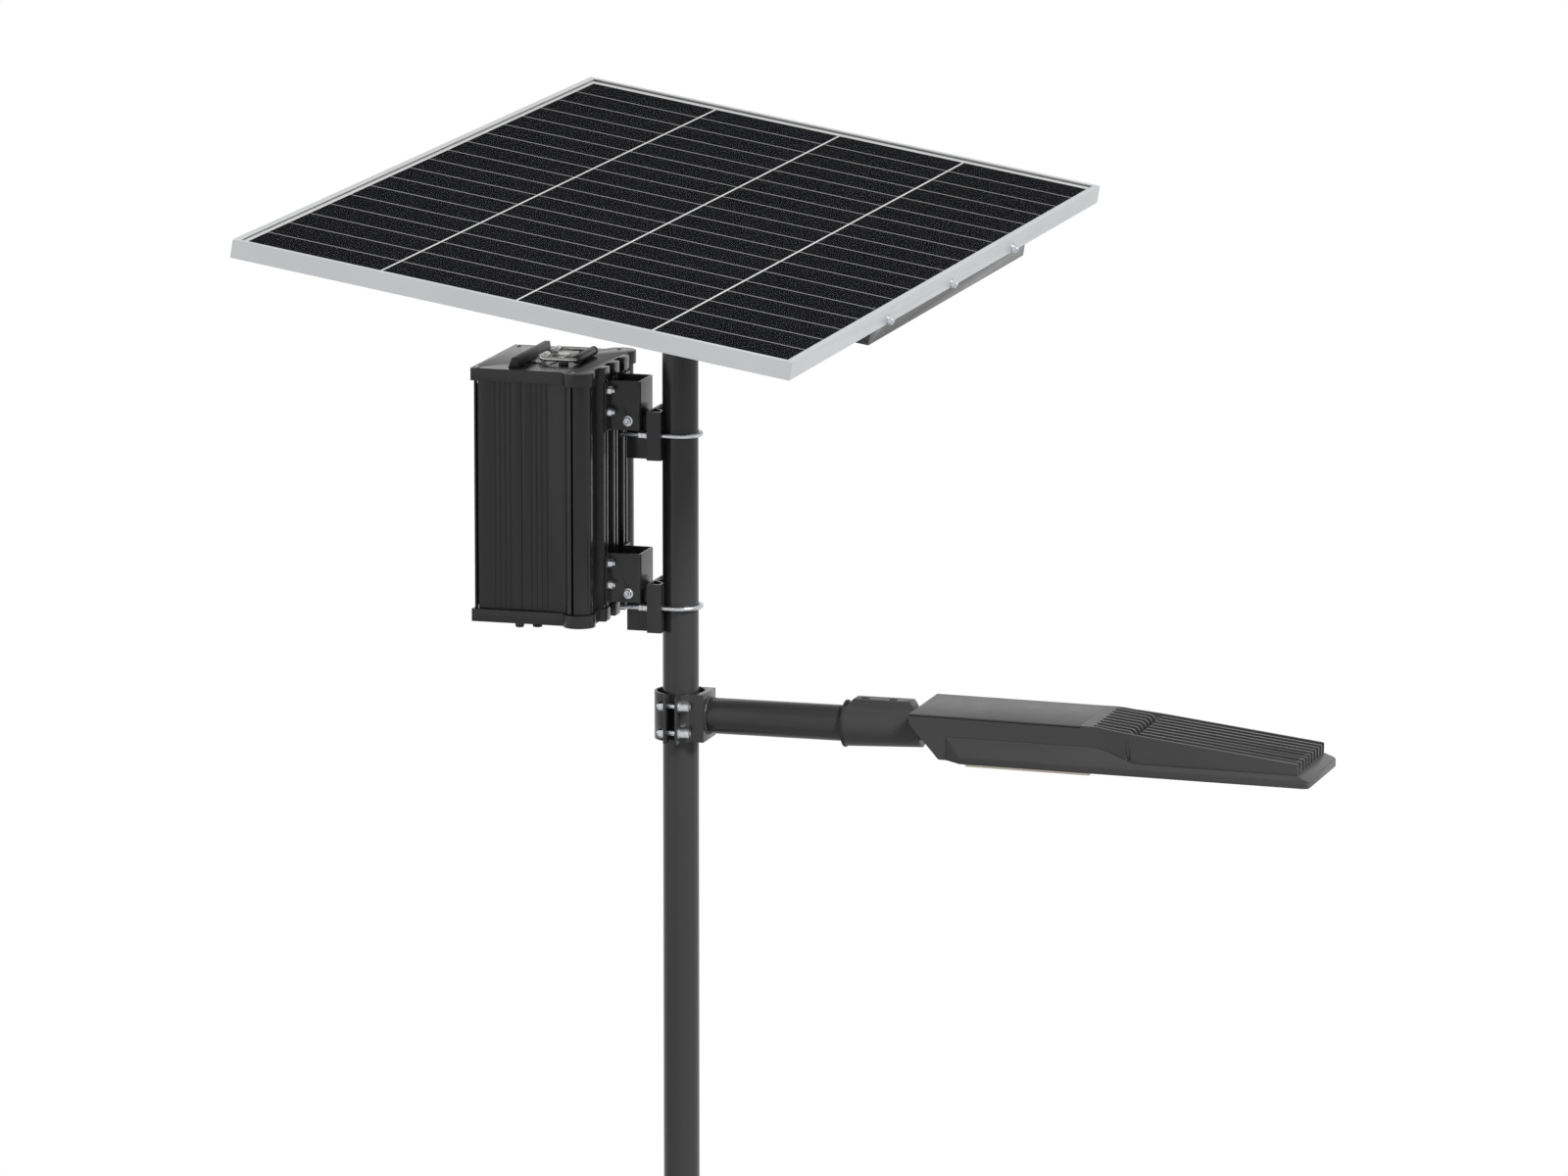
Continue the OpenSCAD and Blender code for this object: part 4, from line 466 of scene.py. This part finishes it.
CAST_NODES = ("lamp_housing", "lamp_base", "spigot_sleeve")
DRAWN_NODES = ("case_body", "case_top_cap", "case_bottom_cap", "frame_left", "frame_right", "frame_front",
               "frame_back", "cross_beams", "lamp_top_cover")
SHEET_NODES = ("case_bracket_upper", "case_bracket_lower", "pole_bracket_upper", "pole_bracket_lower",
               "arm_clamp_front", "arm_clamp_back", "side_rail_left", "side_rail_right", "panel_saddle",
               "pole_sleeve", "base_flange", "base_gussets", "handle_plate", "handle_rests", "junction_box",
               "cable_socket", "power_button")
ROUND_NODES = ("pole_tube", "arm_tube", "handle_bail", "spigot_seal")
BOLT_NODES = ("arm_clamp_screws", "arm_clamp_nuts", "t_bolts", "cross_bolts", "u_bolts", "u_bolt_nuts",
              "rail_bolts", "cap_screws", "spigot_screws", "lamp_pivot_bolt", "tilt_pivot_bolt",
              "tilt_lock_bolt", "sleeve_screws", "lamp_side_screws")


class STREETLAMP_OT_finish_nodes(bpy.types.Operator):
    """Give every solid the finish of its slot"""
    bl_idname = "streetlamp.finish_nodes"
    bl_label = "Finishes"

    def execute(self, context):
        for node, obj in frame["nodes"].items():
            obj.data.materials.clear()
            obj.data.materials.append(finish_material(SLOT_OF[node]))
        return {"FINISHED"}


class STREETLAMP_OT_cast_edges(bpy.types.Operator):
    """Open the grooves in the lantern's housing, and round the edges of the lantern's base and of the spigot
    """
    bl_idname = "streetlamp.cast_edges"
    bl_label = "Cast edges"

    def execute(self, context):
        for node in CAST_NODES:
            if node == "lamp_housing":
                soften(node, 0.0, carve=open_grooves)   # the cut grooves are too close together to bevel
            else:
                soften(node, context.scene.lamp_edges.cast_edge, segments=3)
        return {"FINISHED"}


class STREETLAMP_OT_drawn_edges(bpy.types.Operator):
    """Round the edges of the extruded and plate aluminium"""
    bl_idname = "streetlamp.drawn_edges"
    bl_label = "Drawn edges"

    def execute(self, context):
        for node in DRAWN_NODES:
            soften(node, context.scene.lamp_edges.drawn_edge)
        return {"FINISHED"}


class STREETLAMP_OT_sheet_edges(bpy.types.Operator):
    """Round the edges of the cut and folded steel"""
    bl_idname = "streetlamp.sheet_edges"
    bl_label = "Sheet edges"

    def execute(self, context):
        for node in SHEET_NODES:
            soften(node, context.scene.lamp_edges.sheet_edge)
        return {"FINISHED"}


class STREETLAMP_OT_bolt_edges(bpy.types.Operator):
    """Round the edges of the bolts, screws, nuts and washers"""
    bl_idname = "streetlamp.bolt_edges"
    bl_label = "Bolt edges"

    def execute(self, context):
        for node in BOLT_NODES:
            soften(node, context.scene.lamp_edges.bolt_edge)
        return {"FINISHED"}


class STREETLAMP_OT_round_pieces(bpy.types.Operator):
    """Smooth the tubes, the handle's wire and the seal on the arm"""
    bl_idname = "streetlamp.round_pieces"
    bl_label = "Round pieces"

    def execute(self, context):
        for node in ROUND_NODES:
            soften(node, context.scene.lamp_edges.drawn_edge, angle=TUBE_ANGLE)
        return {"FINISHED"}


class STREETLAMP_OT_grip(bpy.types.Operator):
    """Mould the grip on the handle, with a ringed collar at each end"""
    bl_idname = "streetlamp.grip"
    bl_label = "Handle grip"

    def execute(self, context):
        low, high = (Vector(corner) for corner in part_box("handle_grip"))
        centre = (low + high) / 2
        length = high.y - low.y
        clear_selection()
        bpy.ops.mesh.primitive_cylinder_add(
            vertices=GRIP_SIDES, radius=(high.z - low.z) / 2, depth=length, location=centre,
            rotation=(math.radians(90.0), 0.0, 0.0))
        grip = context.object
        grip.name = "Moulded_grip"
        settle(grip)
        rings = [side * (length / 2 - inset) for side in (-1, 1) for inset in GRIP_RINGS]
        for place in rings:
            bpy.ops.object.mode_set(mode="EDIT")
            bpy.ops.mesh.select_all(action="SELECT")
            bpy.ops.mesh.bisect(plane_co=(centre.x, centre.y + place, centre.z), plane_no=(0.0, 1.0, 0.0))
            bpy.ops.object.mode_set(mode="OBJECT")
        for side in (-1, 1):
            for inset in GRIP_GROOVES:
                waist = centre.y + side * (length / 2 - inset)
                squeeze(grip, centre, lambda point: abs(point.y - waist) < GRIP_REACH,
                        (GRIP_WAIST, 1.0, GRIP_WAIST))
        bevel = grip.modifiers.new("Round", "BEVEL")
        bevel.width = GRIP_EDGE
        bevel.segments = 3
        bevel.limit_method = "ANGLE"
        bevel.angle_limit = GRIP_ANGLE
        bpy.ops.object.modifier_apply(modifier=bevel.name)
        bpy.ops.object.shade_smooth_by_angle(angle=GRIP_ANGLE)
        dress(grip, SLOT_OF["handle_grip"], "handle", "handle_grip")
        return {"FINISHED"}


class STREETLAMP_OT_welds(bpy.types.Operator):
    """Run a weld bead round the arm at its clamp and round the pole on its flange"""
    bl_idname = "streetlamp.welds"
    bl_label = "Weld beads"

    def execute(self, context):
        arm_low, arm_high = (Vector(corner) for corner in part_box("arm_tube"))
        clamp_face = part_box("arm_clamp_front")[1][0]
        arm_centre = Vector((clamp_face, 0.0, (arm_low.z + arm_high.z) / 2))
        flange_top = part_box("base_flange")[1][2]
        radius = (arm_high.z - arm_low.z) / 2
        self.bead("Arm_weld", arm_centre, (0.0, math.radians(90.0), 0.0), radius)
        self.bead("Base_weld", Vector((0.0, 0.0, flange_top)), (0.0, 0.0, 0.0), radius)
        return {"FINISHED"}

    def bead(self, name, centre, turn, radius):
        """A rippled ring of weld, which rides on the pole."""
        clear_selection()
        bpy.ops.mesh.primitive_torus_add(
            location=(0.0, 0.0, 0.0), major_radius=radius, minor_radius=BEAD_R, major_segments=BEAD_STEPS,
            minor_segments=BEAD_SIDES)
        weld = bpy.context.object
        weld.name = name
        squeeze(weld, Vector((0.0, 0.0, 0.0)),
                lambda point: round(math.atan2(point.y, point.x) / math.tau * BEAD_STEPS) % BEAD_RIPPLE == 0,
                BEAD_SWELL)
        weld.location = centre
        weld.rotation_euler = turn
        settle(weld)
        bpy.ops.object.shade_smooth_by_angle(angle=BEAD_ANGLE)
        dress(weld, "black_steel", "pole")


class STREETLAMP_OT_stage(bpy.types.Operator):
    """Set up the floor, the light and the camera"""
    bl_idname = "streetlamp.stage"
    bl_label = "Stage"

    def execute(self, context):
        stage = context.scene.lamp_stage
        clear_selection()
        bpy.ops.mesh.primitive_plane_add(size=stage.floor_side, location=(0.0, 0.0, 0.0))
        floor = context.object
        floor.name = "Floor"
        floor.data.materials.append(floor_material())
        self.lamps(stage)
        self.sky(stage)
        self.camera(context.scene.lamp_view)
        context.scene.view_settings.view_transform = "Standard"
        return {"FINISHED"}

    def lamps(self, stage):
        """The key light and the fill light."""
        for name, place, size, power in (
                ("Key", KEY_PLACE, KEY_SIZE, stage.key_power),
                ("Fill", FILL_PLACE, FILL_SIZE, stage.fill_power)):
            clear_selection()
            bpy.ops.object.light_add(type="AREA", location=place)
            lamp = bpy.context.object
            lamp.name = name
            lamp.data.size = size
            lamp.data.energy = power
            lamp.rotation_euler = (LIGHT_AIM - Vector(place)).to_track_quat("-Z", "Y").to_euler()

    def sky(self, stage):
        """Soft light from all round, plain white where it is seen direct, mirrored or through glass."""
        world = bpy.data.worlds.new("Sky")
        bpy.context.scene.world = world
        world.use_nodes = True
        tree = world.node_tree
        tree.nodes.clear()
        path = tree.nodes.new("ShaderNodeLightPath")
        plain = tree.nodes.new("ShaderNodeBackground")
        plain.inputs["Color"].default_value = (1.0, 1.0, 1.0, 1.0)
        plain.inputs["Strength"].default_value = 1.0
        soft = tree.nodes.new("ShaderNodeBackground")
        soft.inputs["Color"].default_value = (1.0, 1.0, 1.0, 1.0)
        soft.inputs["Strength"].default_value = stage.sky_strength
        seen = tree.nodes.new("ShaderNodeMath")
        seen.operation = "MAXIMUM"
        also = tree.nodes.new("ShaderNodeMath")
        also.operation = "MAXIMUM"
        mix = tree.nodes.new("ShaderNodeMixShader")
        out = tree.nodes.new("ShaderNodeOutputWorld")
        tree.links.new(path.outputs["Is Camera Ray"], seen.inputs[0])
        tree.links.new(path.outputs["Is Glossy Ray"], seen.inputs[1])
        tree.links.new(seen.outputs[0], also.inputs[0])
        tree.links.new(path.outputs["Is Transmission Ray"], also.inputs[1])
        tree.links.new(also.outputs[0], mix.inputs[0])
        tree.links.new(soft.outputs[0], mix.inputs[1])
        tree.links.new(plain.outputs[0], mix.inputs[2])
        tree.links.new(mix.outputs[0], out.inputs["Surface"])

    def camera(self, view):
        """The camera, from its settings."""
        clear_selection()
        bpy.ops.object.camera_add(location=view.eye)
        camera = bpy.context.object
        camera.name = "Camera"
        camera.rotation_euler = Vector(view.aim).to_track_quat("-Z", "Y").to_euler()
        camera.data.lens = view.focal_length
        camera.data.sensor_width = SENSOR_WIDTH
        camera.data.clip_end = CLIP_END
        bpy.context.scene.camera = camera


STEPS = (STREETLAMP_OT_stage, STREETLAMP_OT_finish_nodes, STREETLAMP_OT_cast_edges, STREETLAMP_OT_drawn_edges,
         STREETLAMP_OT_sheet_edges, STREETLAMP_OT_bolt_edges, STREETLAMP_OT_round_pieces, STREETLAMP_OT_grip,
         STREETLAMP_OT_welds)


class STREETLAMP_PT_panel(bpy.types.Panel):
    """Sidebar panel with the lamp's steps and settings"""
    bl_idname = "STREETLAMP_PT_panel"
    bl_label = "Street lamp"
    bl_space_type = "VIEW_3D"
    bl_region_type = "UI"
    bl_category = "Street lamp"

    def draw(self, context):
        scene = context.scene
        for step in STEPS:
            self.layout.operator(step.bl_idname)
        for settings in (scene.lamp_view, scene.lamp_edges, scene.lamp_stage):
            box = self.layout.box()
            for label in settings.bl_rna.properties.keys():
                if label not in ("rna_type", "name"):
                    box.prop(settings, label)


SETTINGS = (("lamp_view", LampViewSettings), ("lamp_edges", LampEdgeSettings),
            ("lamp_stage", LampStageSettings))


def register():
    for label, kind in SETTINGS:
        bpy.utils.register_class(kind)
        setattr(bpy.types.Scene, label, bpy.props.PointerProperty(type=kind))
    for step in STEPS:
        bpy.utils.register_class(step)
    bpy.utils.register_class(STREETLAMP_PT_panel)


def unregister():
    bpy.utils.unregister_class(STREETLAMP_PT_panel)
    for step in reversed(STEPS):
        bpy.utils.unregister_class(step)
    for label, kind in reversed(SETTINGS):
        delattr(bpy.types.Scene, label)
        bpy.utils.unregister_class(kind)


def main():
    register()
    clear_selection()
    bpy.ops.streetlamp.stage()
    bpy.ops.streetlamp.finish_nodes()
    bpy.ops.streetlamp.cast_edges()
    bpy.ops.streetlamp.drawn_edges()
    bpy.ops.streetlamp.sheet_edges()
    bpy.ops.streetlamp.bolt_edges()
    bpy.ops.streetlamp.round_pieces()
    bpy.ops.streetlamp.grip()
    bpy.ops.streetlamp.welds()


if __name__ == "__main__":
    main()
